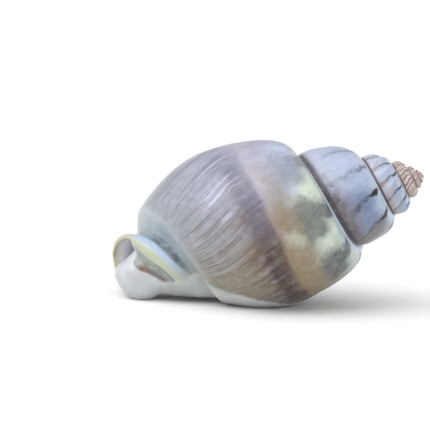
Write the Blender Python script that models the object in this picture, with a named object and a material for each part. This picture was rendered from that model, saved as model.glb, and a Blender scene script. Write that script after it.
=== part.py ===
"""Nassa snail shell, 30 mm long, lying on its aperture.

The shell is one piece. Its surface follows the way it grew: a profile that runs from the suture
over the shoulder and down to the anterior end turns about the shell's axis and widens by the same
factor in each turn. Each whorl is built against the one before it, so all of them share their
points along the suture. The last turns are hollow and open at the aperture.

Shell coordinates: the axis is Z, the apex is at the origin and the anterior end is below it.
Growth is counted in turns, 0 at the outer lip and -1 one turn before it.
Lengths are in millimetres until the mesh is made.
"""

import math

import bmesh
import bpy
from mathutils import Matrix, Vector

MM = 0.001

# How the whorls grow.
LENGTH = 30.0
TURNS = 6.5
STEPS_PER_TURN = 36
WIDENING = 1.66  # the radius of one turn over that of the turn before
LENGTHENING = 1.975  # the same for the distance from the apex
SUTURE_RADIUS = 6.69  # where the last suture meets the lip
SUTURE_DEPTH = 12.97
SLOWING_STARTS = -0.83  # the last turn widens less than the others
RADIUS_SLOWING = 0.16
DEPTH_SLOWING = 0.18

# Lines that run along the last whorls: growth in turns, radius, distance from the apex.
BASE_LINE = [
    (-2.0, 2.3, 8.9),
    (-1.5, 3.3, 12.6),
    (-1.25, 3.7, 15.0),
    (-1.0, 4.0, 17.6),
    (-0.82, 5.3, 20.7),
    (-0.57, 5.3, 22.9),
    (-0.32, 5.3, 25.6),
    (0.0, 5.8, 27.9),
]
GROOVE_LINE = [
    (-2.0, 1.5, 10.1),
    (-1.5, 2.2, 14.3),
    (-1.25, 2.4, 17.0),
    (-1.0, 2.7, 20.1),
    (-0.82, 4.2, 22.2),
    (-0.57, 3.35, 24.0),
    (-0.32, 3.0, 26.7),
    (0.0, 3.9, 28.7),
]
RIDGE_LINE = [
    (-2.0, 1.1, 11.6),
    (-1.5, 1.6, 16.8),
    (-1.25, 1.8, 19.6),
    (-1.0, 2.35, 22.7),
    (-0.82, 3.6, 23.6),
    (-0.57, 3.55, 25.6),
    (-0.32, 3.3, 28.0),
    (0.0, 3.7, 29.4),
]
FURROW_LINE = [
    (-2.0, 0.95, 13.4),
    (-1.5, 1.3, 21.8),
    (-1.25, 1.6, 23.9),
    (-1.0, 2.25, 25.1),
    (-0.82, 3.0, 25.4),
    (-0.57, 2.55, 26.7),
    (-0.42, 2.0, 27.7),
    (0.0, 2.9, 29.9),
]
CALLUS_LINE = [
    (-2.0, 0.88, 15.0),
    (-1.5, 1.3, 25.6),
    (-1.25, 1.6, 26.4),
    (-1.0, 2.2, 26.5),
    (-0.82, 2.75, 26.5),
    (-0.57, 2.45, 27.1),
    (-0.42, 1.85, 27.8),
    (0.0, 1.85, 27.8),
]
LOBE_LINE = [
    (-2.0, 0.8, 16.8),
    (-1.5, 1.4, 28.2),
    (-1.25, 1.7, 28.4),
    (-1.0, 2.5, 28.1),
    (-0.82, 2.95, 27.9),
    (-0.57, 2.4, 28.2),
    (-0.42, 1.4, 28.5),
    (0.0, 1.4, 28.5),
]

# The profile's rows, counted from the suture.
PERIPHERY = 7
BASE = 12
GROOVE = 14
RIDGE = 16
FURROW = 18
CALLUS = 19
LOBE = 22
TIP = 25

# The ribs of the early whorls.
RIBS_PER_TURN = 12
RIB_HEIGHT = 0.05  # over the whorl's radius
RIBS_END = -1.6
RIBS_FADE = 1.2

# The aperture.
NOTCH = -0.4167  # growth at the deepest point of the notch in the anterior end
LIP_SETBACK = 0.083  # how far the lip's anterior end lags behind its middle, in turns
HOLLOW_TURNS = 2.5
WALL = 0.5
LIP_WALL = 0.85
LIP_THICKENS = 0.2
CANAL_THINNING = 0.4
FLOOR_DEEP = -0.85  # before this, the cavity's floor runs straight to the pillar
FLOOR_OPEN = -0.4

# How it lies: the direction that points down, about the axis and towards the anterior end.
DOWN_AROUND = math.radians(304.82)
DOWN_FORWARD = math.radians(20.73)
WORN = 0.15  # depth of the worn flats under it

SHELL_COLOUR = (0.50, 0.50, 0.53, 1.0)
ROUGHNESS = 0.25

LAST = round(TURNS * STEPS_PER_TURN)
NOTCH_STEP = LAST + round(NOTCH * STEPS_PER_TURN)
BLIND_STEP = LAST - round(HOLLOW_TURNS * STEPS_PER_TURN)


def eased(t):
    """0 to 1 with no corner at either end."""
    t = min(max(t, 0.0), 1.0)
    return t * t * (3.0 - 2.0 * t)


def curve_point(before, start, end, after, spans, t):
    """One point of a smooth curve through four points whose gaps are the three spans."""
    slope_in = (end - before) / (spans[0] + spans[1]) * spans[1]
    slope_out = (after - start) / (spans[1] + spans[2]) * spans[1]
    blend = eased(t)
    return (
        (1.0 - blend) * start
        + blend * end
        + (t**3 - 2.0 * t**2 + t) * slope_in
        + (t**3 - t**2) * slope_out
    )


def on_line(line, growth):
    """(radius, depth) of one of the lines at this growth. It shrinks by the whorls' own factors before its start."""
    points = [Vector(entry[1:]) for entry in line]
    turns = [entry[0] for entry in line]
    if growth <= turns[0]:
        back = growth - turns[0]
        return Vector((points[0].x * WIDENING**back, points[0].y * LENGTHENING**back))
    if growth >= turns[-1]:
        return points[-1]
    k = max(index for index, turn in enumerate(turns) if turn <= growth)
    before = points[k - 1] if k else 2.0 * points[k] - points[k + 1]
    after = points[k + 2] if k + 2 < len(points) else 2.0 * points[k + 1] - points[k]
    gap = turns[k + 1] - turns[k]
    first_gap = turns[k] - turns[k - 1] if k else gap
    last_gap = turns[k + 2] - turns[k + 1] if k + 2 < len(turns) else gap
    t = (growth - turns[k]) / gap
    return curve_point(before, points[k], points[k + 1], after, (first_gap, gap, last_gap), t)


def whorl(growth):
    """The suture and the periphery of the whorl at this growth."""
    suture = Vector((SUTURE_RADIUS * WIDENING**growth, SUTURE_DEPTH * LENGTHENING**growth))
    slowing = eased(1.0 - growth / SLOWING_STARTS)
    periphery = Vector(
        (
            WIDENING * suture.x * (1.0 - RADIUS_SLOWING * slowing),
            LENGTHENING * suture.y * (1.0 - DEPTH_SLOWING * slowing),
        )
    )
    return suture, periphery


def wall_at(growth, row):
    """Wall thickness. It is thinner in the early whorls and the canal, and thicker at the lip."""
    wall = WALL * min(1.0, WIDENING ** (growth + 0.33))
    canal = eased((row - BASE) / (RIDGE - BASE))
    at_suture = min(1.0, 0.55 + 0.2 * row)
    lip = (LIP_WALL - WALL) * eased(1.0 + growth / LIP_THICKENS) * (1.0 - canal)
    return (wall * (1.0 - CANAL_THINNING * canal) + lip) * at_suture


def rib(growth):
    """Height of the axial ribs here, over the whorl's radius."""
    strength = eased((RIBS_END - growth) / RIBS_FADE)
    return RIB_HEIGHT * strength * math.cos(math.tau * RIBS_PER_TURN * growth)


def profile(growth):
    """The (radius, depth) points of all rows at this growth."""
    suture, periphery = whorl(growth)
    points = []
    for row in range(PERIPHERY + 1):
        angle = math.pi / 2.0 * row / PERIPHERY
        swelling = 1.0 + rib(growth) * math.sin(2.0 * angle)
        radius = suture.x + (periphery.x - suture.x) * math.sin(angle)
        depth = suture.y + (periphery.y - suture.y) * (1.0 - math.cos(angle))
        points.append(Vector((radius * swelling, depth)))

    # The first row past the periphery is where the next whorl's inner wall meets this one.
    base = on_line(BASE_LINE, growth)
    root = 1.3 * WALL * min(1.0, WIDENING ** (growth + 1.33)) / (base.y - periphery.y)
    for row in range(PERIPHERY + 1, BASE + 1):
        t = root + (1.0 - root) * (row - PERIPHERY - 1) / (BASE - PERIPHERY - 1)
        points.append(Vector((base.x + (periphery.x - base.x) * (1.0 - t * t), 0.0)))
        points[-1].y = periphery.y + (base.y - periphery.y) * t

    lines = (GROOVE_LINE, RIDGE_LINE, FURROW_LINE, CALLUS_LINE, LOBE_LINE)
    stops = [base] + [on_line(line, growth) for line in lines]
    rows = (BASE, GROOVE, RIDGE, FURROW, CALLUS, LOBE)
    for k in range(len(stops) - 1):
        before = stops[k - 1] if k else 2.0 * stops[0] - stops[1]
        after = stops[k + 2] if k + 2 < len(stops) else 2.0 * stops[k + 1] - stops[k]
        spans = (
            (stops[k] - before).length,
            (stops[k + 1] - stops[k]).length,
            (after - stops[k + 1]).length,
        )
        count = rows[k + 1] - rows[k]
        for step in range(1, count + 1):
            t = step / count
            points.append(curve_point(before, stops[k], stops[k + 1], after, spans, t))

    # The anterior end is rounded like half an egg.
    lobe = stops[-1]
    for step in range(1, TIP - LOBE + 1):
        angle = math.pi / 2.0 * step / (TIP - LOBE)
        depth = lobe.y + (LENGTH - lobe.y) * math.sin(angle)
        points.append(Vector((lobe.x * math.cos(angle), depth)))
    return points


def growth_at(step, row):
    """Growth at a point of the grid. Near the aperture, the lower rows lag behind the lip."""
    growth = (step - LAST) / STEPS_PER_TURN
    if step <= NOTCH_STEP or row > RIDGE:
        return growth
    lag = eased((row - PERIPHERY) / (RIDGE - PERIPHERY)) * LIP_SETBACK
    return growth - lag * (1.0 - growth / NOTCH)


def inner_point(growth, row):
    """(radius, depth) of the cavity's surface under this row of the outside."""
    outside = profile(growth)
    along = (outside[min(row + 1, TIP)] - outside[max(row - 1, 0)]).normalized()
    return outside[row] + Vector((-along.y, along.x)) * wall_at(growth, row)


def cavity_point(growth, row):
    """(radius, depth) of the cavity's surface. Far inside, its floor runs from the base to the pillar."""
    point = inner_point(growth, row)
    if row <= BASE:
        return point
    start = inner_point(growth, BASE)
    end = on_line(CALLUS_LINE, growth - 1.0)
    t = (row - BASE) / (CALLUS - BASE)
    floor = Vector((start.x + (end.x - start.x) * t, start.y + (end.y - start.y) * t**1.6))
    return point.lerp(floor, eased((FLOOR_OPEN - growth) / (FLOOR_OPEN - FLOOR_DEEP)))


def placed(growth, point):
    """A (radius, depth) point at this growth, in shell coordinates."""
    angle = -math.tau * growth
    return Vector((point.x * math.cos(angle), point.x * math.sin(angle), -point.y))


class ShellMesh:
    """The shell's points and faces, on a grid of growth steps and profile rows."""

    def __init__(self):
        self.points = []
        self.faces = []
        self.numbers = {}

    def shared(self, layer, step, row):
        """The one name of a grid point that several surfaces share."""
        if layer == "inside":
            # The cavity's two edges lie on the outside of the whorl before it.
            if row == 0:
                return self.shared("outside", step - STEPS_PER_TURN, PERIPHERY + 1)
            if row == CALLUS:
                return self.shared("outside", step - STEPS_PER_TURN, CALLUS)
            return layer, step, row
        if row == TIP:
            return layer, 0, TIP
        if row == PERIPHERY and step + STEPS_PER_TURN <= LAST:
            # The next whorl's suture lies on this whorl's periphery.
            return layer, step + STEPS_PER_TURN, 0
        if row > CALLUS and step == NOTCH_STEP - STEPS_PER_TURN:
            # The anterior end closes on itself.
            return layer, NOTCH_STEP, row
        return layer, step, row

    def number(self, layer, step, row):
        """The index of a grid point, which is placed when it is first asked for."""
        name = self.shared(layer, step, row)
        if name not in self.numbers:
            layer, step, row = name
            growth = growth_at(step, row)
            if row == TIP:
                point = Vector((0.0, LENGTH))
            elif layer == "inside":
                point = cavity_point(growth, row)
            else:
                point = profile(growth)[row]
            self.numbers[name] = len(self.points)
            self.points.append(placed(growth, point))
        return self.numbers[name]

    def face(self, corners):
        """Adds a face, leaving out corners that fall together."""
        kept = list(dict.fromkeys(corners))
        if len(kept) > 2:
            self.faces.append(kept)

    def patch(self, layer, steps, rows):
        """The quads of one stretch of the outside or of the cavity, facing away from the wall."""
        for step in range(*steps):
            for row in range(*rows):
                corners = [
                    self.number(layer, step, row),
                    self.number(layer, step + 1, row),
                    self.number(layer, step + 1, row + 1),
                    self.number(layer, step, row + 1),
                ]
                self.face(corners if layer == "outside" else corners[::-1])

    def outside(self):
        """The whorls' outside, with the old whorls' base and the pillar that the cavity bares."""
        before_lip = LAST - STEPS_PER_TURN
        before_notch = NOTCH_STEP - STEPS_PER_TURN
        self.patch("outside", (0, LAST), (0, PERIPHERY))
        self.patch("outside", (before_lip, LAST), (PERIPHERY, RIDGE))
        self.patch("outside", (before_lip, NOTCH_STEP), (RIDGE, TIP))
        self.patch("outside", (BLIND_STEP - STEPS_PER_TURN, before_lip), (PERIPHERY + 1, CALLUS))
        self.patch("outside", (before_notch + 1, before_lip), (CALLUS, TIP))
        self.patch("outside", (before_notch, before_notch + 1), (CALLUS + 1, TIP))

        # Where the anterior end closes, one quad and one triangle take up the extra corner.
        start, new = before_notch, NOTCH_STEP
        corner = self.number("outside", new, CALLUS)
        self.face([self.number("outside", start, CALLUS), self.number("outside", start + 1, CALLUS), corner])
        self.face(
            [
                corner,
                self.number("outside", start + 1, CALLUS),
                self.number("outside", start + 1, CALLUS + 1),
                self.number("outside", new, CALLUS + 1),
            ]
        )

    def inside(self):
        """The cavity, with its blind end."""
        self.patch("inside", (BLIND_STEP, NOTCH_STEP), (0, CALLUS))
        self.patch("inside", (NOTCH_STEP, LAST), (0, RIDGE))
        ring = [self.number("inside", BLIND_STEP, row) for row in range(CALLUS + 1)]
        before = BLIND_STEP - STEPS_PER_TURN
        ring += [self.number("outside", before, row) for row in range(CALLUS - 1, PERIPHERY, -1)]
        middle = sum((self.points[number] for number in ring), Vector()) / len(ring)
        middle.rotate(Matrix.Rotation(math.tau / STEPS_PER_TURN, 3, "Z"))
        self.fan(ring, middle)

    def lip(self):
        """The lip's edge and the notch's edge, which join the outside to the cavity."""
        def strip(outer, inner):
            for k in range(len(outer) - 1):
                self.face([outer[k], inner[k], inner[k + 1], outer[k + 1]])

        for step, rows in ((LAST, range(RIDGE + 1)), (NOTCH_STEP, range(RIDGE, CALLUS + 1))):
            strip(
                [self.number("outside", step, row) for row in rows],
                [self.number("inside", step, row) for row in rows],
            )
        notch = range(LAST, NOTCH_STEP - 1, -1)
        strip(
            [self.number("outside", step, RIDGE) for step in notch],
            [self.number("inside", step, RIDGE) for step in notch],
        )

    def apex(self):
        """The point of the spire."""
        ring = [self.number("outside", step, 0) for step in range(STEPS_PER_TURN, -1, -1)]
        ring += [self.number("outside", 0, row) for row in range(1, PERIPHERY)]
        self.fan(ring, Vector((0.0, 0.0, 0.5 * max(self.points[number].z for number in ring))))

    def fan(self, ring, middle):
        """Closes a ring of points with triangles to one in its middle."""
        centre = len(self.points)
        self.points.append(middle)
        for k, number in enumerate(ring):
            self.face([number, ring[(k + 1) % len(ring)], centre])


def resting():
    """The turn from shell coordinates to the world: aperture down, anterior end towards -X."""
    flat = math.cos(DOWN_FORWARD)
    down = Vector((flat * math.cos(DOWN_AROUND), flat * math.sin(DOWN_AROUND), -math.sin(DOWN_FORWARD)))
    up = -down
    apex = Vector((0.0, 0.0, 1.0))
    right = (apex - apex.dot(up) * up).normalized()
    return Matrix((right, up.cross(right), up))


def material():
    """Polished, pale grey shell."""
    made = bpy.data.materials.new("shell")
    made.use_nodes = True
    surface = made.node_tree.nodes["Principled BSDF"]
    surface.inputs["Base Color"].default_value = SHELL_COLOUR
    surface.inputs["Roughness"].default_value = ROUGHNESS
    surface.inputs["Metallic"].default_value = 0.0
    return made


def shell(collection):
    """The shell, turned to lie on the floor and set on the middle of its footprint."""
    grid = ShellMesh()
    grid.outside()
    grid.inside()
    grid.lip()
    grid.apex()

    turn = resting()
    points = [turn @ point for point in grid.points]
    low, high = (Vector(map(pick, zip(*points))) for pick in (min, max))
    origin = Vector(((low.x + high.x) / 2.0, (low.y + high.y) / 2.0, low.z + WORN))

    mesh = bpy.data.meshes.new("shell")
    mesh.from_pydata([(point - origin) * MM for point in points], [], grid.faces)
    work = bmesh.new()
    work.from_mesh(mesh)
    bmesh.ops.recalc_face_normals(work, faces=work.faces)
    for face in work.faces:
        face.smooth = True
    work.to_mesh(mesh)
    work.free()
    mesh.materials.append(material())
    made = bpy.data.objects.new("shell", mesh)
    collection.objects.link(made)
    return made


def wear(made, collection):
    """Takes off what lies below the floor, which leaves small flats where the shell rests."""
    size = 2.0 * LENGTH * MM
    mesh = bpy.data.meshes.new("floor_cutter")
    work = bmesh.new()
    bmesh.ops.create_cube(work, size=size, matrix=Matrix.Translation((0.0, 0.0, -size / 2.0)))
    work.to_mesh(mesh)
    work.free()
    cutter = bpy.data.objects.new("floor_cutter", mesh)
    cutter.hide_render = True
    cutter.display_type = "WIRE"
    collection.objects.link(cutter)
    cut = made.modifiers.new("worn flats", "BOOLEAN")
    cut.operation = "DIFFERENCE"
    cut.solver = "EXACT"
    cut.object = cutter


def main():
    for existing in list(bpy.data.objects):
        bpy.data.objects.remove(existing, do_unlink=True)
    parts = bpy.data.collections.new("nassa snail shell")
    cutters = bpy.data.collections.new("cutters")
    for collection in (parts, cutters):
        bpy.context.scene.collection.children.link(collection)
    cutters.hide_render = True
    wear(shell(parts), cutters)


main()
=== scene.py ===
"""Looks of the nassa snail shell: one finely grown surface with its porcelain callus and lining.

The shell is modelled as it grew. A profile that runs from the suture over the shoulder and down to
the anterior end turns about the shell's axis and widens by the same factor in each turn. Each whorl
is built against the one before it, so all of them share their points along the suture.

Shell coordinates: the axis is Z, the apex is at the origin and the anterior end is below it.
Growth is counted in turns, 0 at the outer lip and -1 one turn before it.
The place along the profile is a number from 0 at the suture to 8 at the anterior end.
Lengths are in millimetres until the mesh is made.
"""

import functools
import logging
import math
from dataclasses import dataclass, field, replace
from enum import Enum, IntEnum

import bmesh
import bpy
import numpy as np
from mathutils import Matrix, Vector


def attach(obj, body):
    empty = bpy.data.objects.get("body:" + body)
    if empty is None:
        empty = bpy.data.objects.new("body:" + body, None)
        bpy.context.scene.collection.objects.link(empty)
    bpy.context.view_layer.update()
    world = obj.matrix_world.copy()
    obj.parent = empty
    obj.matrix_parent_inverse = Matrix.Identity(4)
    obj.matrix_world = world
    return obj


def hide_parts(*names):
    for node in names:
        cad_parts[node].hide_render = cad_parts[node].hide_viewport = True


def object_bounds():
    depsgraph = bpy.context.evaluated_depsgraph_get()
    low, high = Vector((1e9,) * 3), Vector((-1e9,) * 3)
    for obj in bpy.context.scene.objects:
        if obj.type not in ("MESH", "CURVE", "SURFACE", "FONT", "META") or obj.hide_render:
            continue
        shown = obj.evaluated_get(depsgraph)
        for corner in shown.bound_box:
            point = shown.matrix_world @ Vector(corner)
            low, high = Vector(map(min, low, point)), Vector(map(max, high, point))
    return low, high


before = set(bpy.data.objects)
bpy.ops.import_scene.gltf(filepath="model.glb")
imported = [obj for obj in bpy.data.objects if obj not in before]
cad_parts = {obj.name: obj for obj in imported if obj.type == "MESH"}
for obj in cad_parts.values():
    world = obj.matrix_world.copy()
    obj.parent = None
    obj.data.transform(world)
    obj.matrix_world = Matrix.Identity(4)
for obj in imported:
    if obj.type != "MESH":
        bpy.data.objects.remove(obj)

MM = 0.001
CAD_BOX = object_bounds()

# The values that each point of the mesh carries, in millimetres: how far it is inside the callus's
# edge and how far from the lip's. These numbers stand for points well away from both.
CALLUS_VALUES = "callus"
LIP_VALUES = "lip"
UNDER_CALLUS = 5.0
FAR_FROM_LIP = 50.0

NUMBER_SOCKET = "NodeSocketFloat"
COLOUR_SOCKET = "NodeSocketColor"

Array = np.ndarray
Stations = tuple[tuple[float, ...], ...]
Socket = bpy.types.NodeSocket
Value = Socket | float | tuple[float, ...]
Ramp = tuple[tuple[float, str], ...]

# A span of two numbers starts at the first and ends at the second, which may be the lower one.
# A span of four rises over the first two and falls over the last two.
Span = tuple[float, ...]

log = logging.getLogger("nassa_shell")


class Place(IntEnum):
    """The named places along the profile, from the suture to the anterior end."""

    SUTURE = 0
    PERIPHERY = 1
    BASE = 2
    GROOVE = 3
    RIDGE = 4
    FURROW = 5
    CALLUS = 6
    LOBE = 7
    TIP = 8


class Layer(Enum):
    """The two surfaces of the shell's wall."""

    OUTSIDE = 0
    INSIDE = 1


def eased(t: Array | float) -> Array:
    """Returns 0 to 1 with no corner at either end."""
    t = np.clip(t, 0.0, 1.0)
    return t * t * (3.0 - 2.0 * t)


def rising(value: Array, span: Span) -> Array:
    """Returns 0 at the span's start and 1 at its end, which may be the lower of the two."""
    return eased((value - span[0]) / (span[1] - span[0]))


def bell(value: Array, middle: float, width: float) -> Array:
    """Returns a rounded bump of height 1 about the middle."""
    return np.exp(-(((value - middle) / width) ** 2))


def curve_point(four: list[Array], spans: list[Array], t: Array) -> Array:
    """Finds points on smooth curves, each through four points.

    Args:
        four: The point before each stretch, its two ends and the point after it.
        spans: The three gaps between those points.
        t: How far along the stretch, 0 to 1.

    Returns:
        One point for each t.
    """
    before, start, end, after = four
    first, middle, last = (span[..., None] for span in spans)
    t = t[..., None]
    slope_in = (end - before) / (first + middle) * middle
    slope_out = (after - start) / (middle + last) * middle
    blend = eased(t)
    leaving, arriving = t**3 - 2.0 * t**2 + t, t**3 - t**2
    return (1.0 - blend) * start + blend * end + leaving * slope_in + arriving * slope_out


def on_stations(stations: Stations, at: Array) -> Array:
    """Reads a smooth curve through stations.

    Args:
        stations: Each station's position, then its values.
        at: The positions to read.

    Returns:
        The values there, with one more axis than the positions. They stay level past both ends.
    """
    table = np.array(stations)
    turns, points = table[:, 0], table[:, 1:]
    padded = np.concatenate((2.0 * points[:1] - points[1:2], points, 2.0 * points[-1:] - points[-2:-1]))
    gaps = np.diff(turns)
    gaps = np.concatenate((gaps[:1], gaps, gaps[-1:]))
    inside = np.clip(at, turns[0], turns[-1])
    k = np.clip(np.searchsorted(turns, inside, side="right") - 1, 0, len(turns) - 2)
    four = [padded[k + n] for n in range(4)]
    spans = [gaps[k + n] for n in range(3)]
    return curve_point(four, spans, (inside - turns[k]) / spans[1])


@dataclass(frozen=True)
class Growth:
    """How the whorls widen, and the lines along them, as growth, radius and depth from the apex."""

    length: float = 30.0
    turns: float = 6.5
    widening: float = 1.66
    lengthening: float = 1.975
    suture: tuple[float, float] = (6.69, 12.97)
    slowing_span: Span = (-0.83, 0.0)
    slowing: tuple[float, float] = (0.16, 0.18)
    suture_sink: Stations = (
        (-2.2, 0.06), (-1.0, 0.1), (-0.75, 0.14), (-0.35, 0.42), (-0.12, 0.42), (0.0, 0.0),
    )
    suture_reach: float = 0.11
    suture_drop: Stations = (
        (-1.9, 0.0), (-1.0, 0.0), (-0.85, 0.12), (-0.7, 0.42), (-0.3, 0.5), (0.0, 0.4),
    )
    drop_reach: float = 0.35
    base: Stations = (
        (-2.0, 2.3, 8.9), (-1.5, 3.3, 12.6), (-1.25, 3.7, 15.0), (-1.0, 4.0, 17.6), (-0.82, 5.3, 20.7),
        (-0.57, 5.3, 22.9), (-0.32, 5.3, 25.6), (0.0, 5.8, 27.9),
    )
    groove: Stations = (
        (-2.0, 1.5, 10.1), (-1.5, 2.2, 14.3), (-1.25, 2.4, 17.0), (-1.0, 2.7, 20.1), (-0.82, 4.7, 21.4),
        (-0.71, 3.9, 22.1), (-0.62, 3.45, 23.35), (-0.56, 3.35, 24.0), (-0.49, 3.3, 24.6),
        (-0.42, 3.25, 25.4), (-0.32, 3.1, 26.5), (0.0, 3.9, 28.7),
    )
    ridge: Stations = (
        (-2.0, 1.1, 11.6), (-1.5, 1.6, 16.8), (-1.25, 1.8, 19.6), (-1.0, 2.35, 22.7),
        (-0.82, 4.05, 23.1), (-0.67, 3.6, 24.25), (-0.57, 3.55, 25.4), (-0.49, 3.6, 26.5),
        (-0.42, 3.6, 27.4), (-0.3, 3.4, 28.4), (-0.22, 3.5, 29.15), (-0.15, 3.6, 29.65),
        (0.0, 3.8, 29.85),
    )
    furrow: Stations = (
        (-2.0, 0.95, 13.4), (-1.5, 1.3, 21.8), (-1.25, 1.6, 23.9), (-1.0, 2.25, 25.1),
        (-0.82, 3.25, 25.2), (-0.57, 2.65, 26.6), (-0.42, 2.7, 27.55), (0.0, 2.9, 29.9),
    )
    callus: Stations = (
        (-2.0, 0.88, 15.0), (-1.5, 1.3, 25.6), (-1.25, 1.6, 26.4), (-1.0, 2.2, 26.5),
        (-0.82, 2.75, 26.5), (-0.57, 2.45, 27.1), (-0.42, 2.1, 27.35), (0.0, 2.1, 27.35),
    )
    lobe: Stations = (
        (-2.0, 0.8, 16.8), (-1.5, 1.0, 28.2), (-1.25, 1.25, 28.35), (-1.0, 2.4, 28.1),
        (-0.82, 2.95, 27.9), (-0.57, 2.4, 28.2), (-0.42, 1.3, 28.5), (0.0, 1.3, 28.5),
    )

    def line(self, stations: Stations, growth: Array) -> Array:
        """Reads a line, which shrinks by the whorls' own factors before its start.

        Args:
            stations: The line's stations.
            growth: Growth in turns.

        Returns:
            (radius, depth) at each growth.
        """
        back = np.minimum(growth - stations[0][0], 0.0)
        factors = np.stack((self.widening**back, self.lengthening**back), axis=-1)
        return on_stations(stations, growth) * factors

    def whorl(self, growth: Array) -> tuple[Array, Array]:
        """Finds the suture and the periphery of the whorl.

        Args:
            growth: Growth in turns.

        Returns:
            (radius, depth) of the suture, and of the periphery.
        """
        radius, depth = self.suture
        suture = np.stack((radius * self.widening**growth, depth * self.lengthening**growth), axis=-1)
        slow = rising(growth, self.slowing_span)[..., None]
        factors = np.array((self.widening, self.lengthening)) * (1.0 - np.array(self.slowing) * slow)
        return suture, suture * factors

    def sink(self, growth: Array, place: Array) -> Array:
        """Finds how far the suture is pressed in, on both whorls beside it.

        Args:
            growth: Growth in turns.
            place: Place along the profile, with the same shape.

        Returns:
            The change in (radius, depth).
        """
        found = []
        pressed = ((self.suture_sink, self.suture_reach), (self.suture_drop, self.drop_reach))
        for stations, reach in pressed:
            below = on_stations(stations, growth)[..., 0] * bell(place, 0.0, reach)
            above = on_stations(stations, growth + 1.0)[..., 0] * bell(place, 1.0, reach)
            found.append(below + np.where(growth < -1.0, above, 0.0))
        return np.stack((-found[0], found[1]), axis=-1)

    def point(self, growth: Array, place: Array) -> Array:
        """Finds points of the plain outside, without ribs or callus.

        Args:
            growth: Growth in turns.
            place: Place along the profile, with the same shape.

        Returns:
            (radius, depth) of each.
        """
        suture, periphery = self.whorl(growth)
        angle = np.clip(place, 0.0, 1.0) * math.pi / 2.0
        arc = np.stack((np.sin(angle), 1.0 - np.cos(angle)), axis=-1)
        found = suture + (periphery - suture) * arc

        lines = (self.base, self.groove, self.ridge, self.furrow, self.callus, self.lobe)
        stops = [self.line(stations, growth) for stations in lines]
        t = np.clip(place - Place.PERIPHERY, 0.0, 1.0)[..., None]
        base = periphery + (stops[0] - periphery) * np.concatenate((t * t, t), axis=-1)
        found = np.where((place > Place.PERIPHERY)[..., None], base, found)

        stops = [2.0 * stops[0] - stops[1], *stops, 2.0 * stops[-1] - stops[-2]]
        for k in range(1, len(stops) - 2):
            four = stops[k - 1 : k + 3]
            spans = [np.linalg.norm(four[n + 1] - four[n], axis=-1) for n in range(3)]
            start = Place.PERIPHERY + k
            stretch = curve_point(four, spans, np.clip(place - start, 0.0, 1.0))
            found = np.where((place > start)[..., None], stretch, found)

        # The anterior end is rounded like half an egg.
        lobe = stops[-2]
        angle = np.clip(place - Place.LOBE, 0.0, 1.0) * math.pi / 2.0
        depth = lobe[..., 1] + (self.length - lobe[..., 1]) * np.sin(angle)
        egg = np.stack((lobe[..., 0] * np.cos(angle), depth), axis=-1)
        found = np.where((place > Place.LOBE)[..., None], egg, found)
        return found + self.sink(growth, place)

    def outward(self, growth: Array, place: Array, reach: float = 0.08) -> Array:
        """Finds which way is out of the wall.

        Args:
            growth: Growth in turns.
            place: Place along the profile, with the same shape.
            reach: How far off along the profile the slope is read.

        Returns:
            The unit (radius, depth) direction.
        """
        after, before = np.minimum(place + reach, Place.TIP), np.maximum(place - reach, 0.0)
        along = self.point(growth, after) - self.point(growth, before)
        out = np.stack((along[..., 1], -along[..., 0]), axis=-1)
        return out / np.maximum(np.linalg.norm(out, axis=-1, keepdims=True), 1e-9)


def placed(growth: Array, point: Array) -> Array:
    """Places points about the shell's axis.

    Args:
        growth: Growth in turns.
        point: (radius, depth) of each.

    Returns:
        (x, y, z) of each, in shell coordinates.
    """
    angle = -math.tau * growth
    radius, depth = point[..., 0], point[..., 1]
    return np.stack((radius * np.cos(angle), radius * np.sin(angle), -depth), axis=-1)


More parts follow.
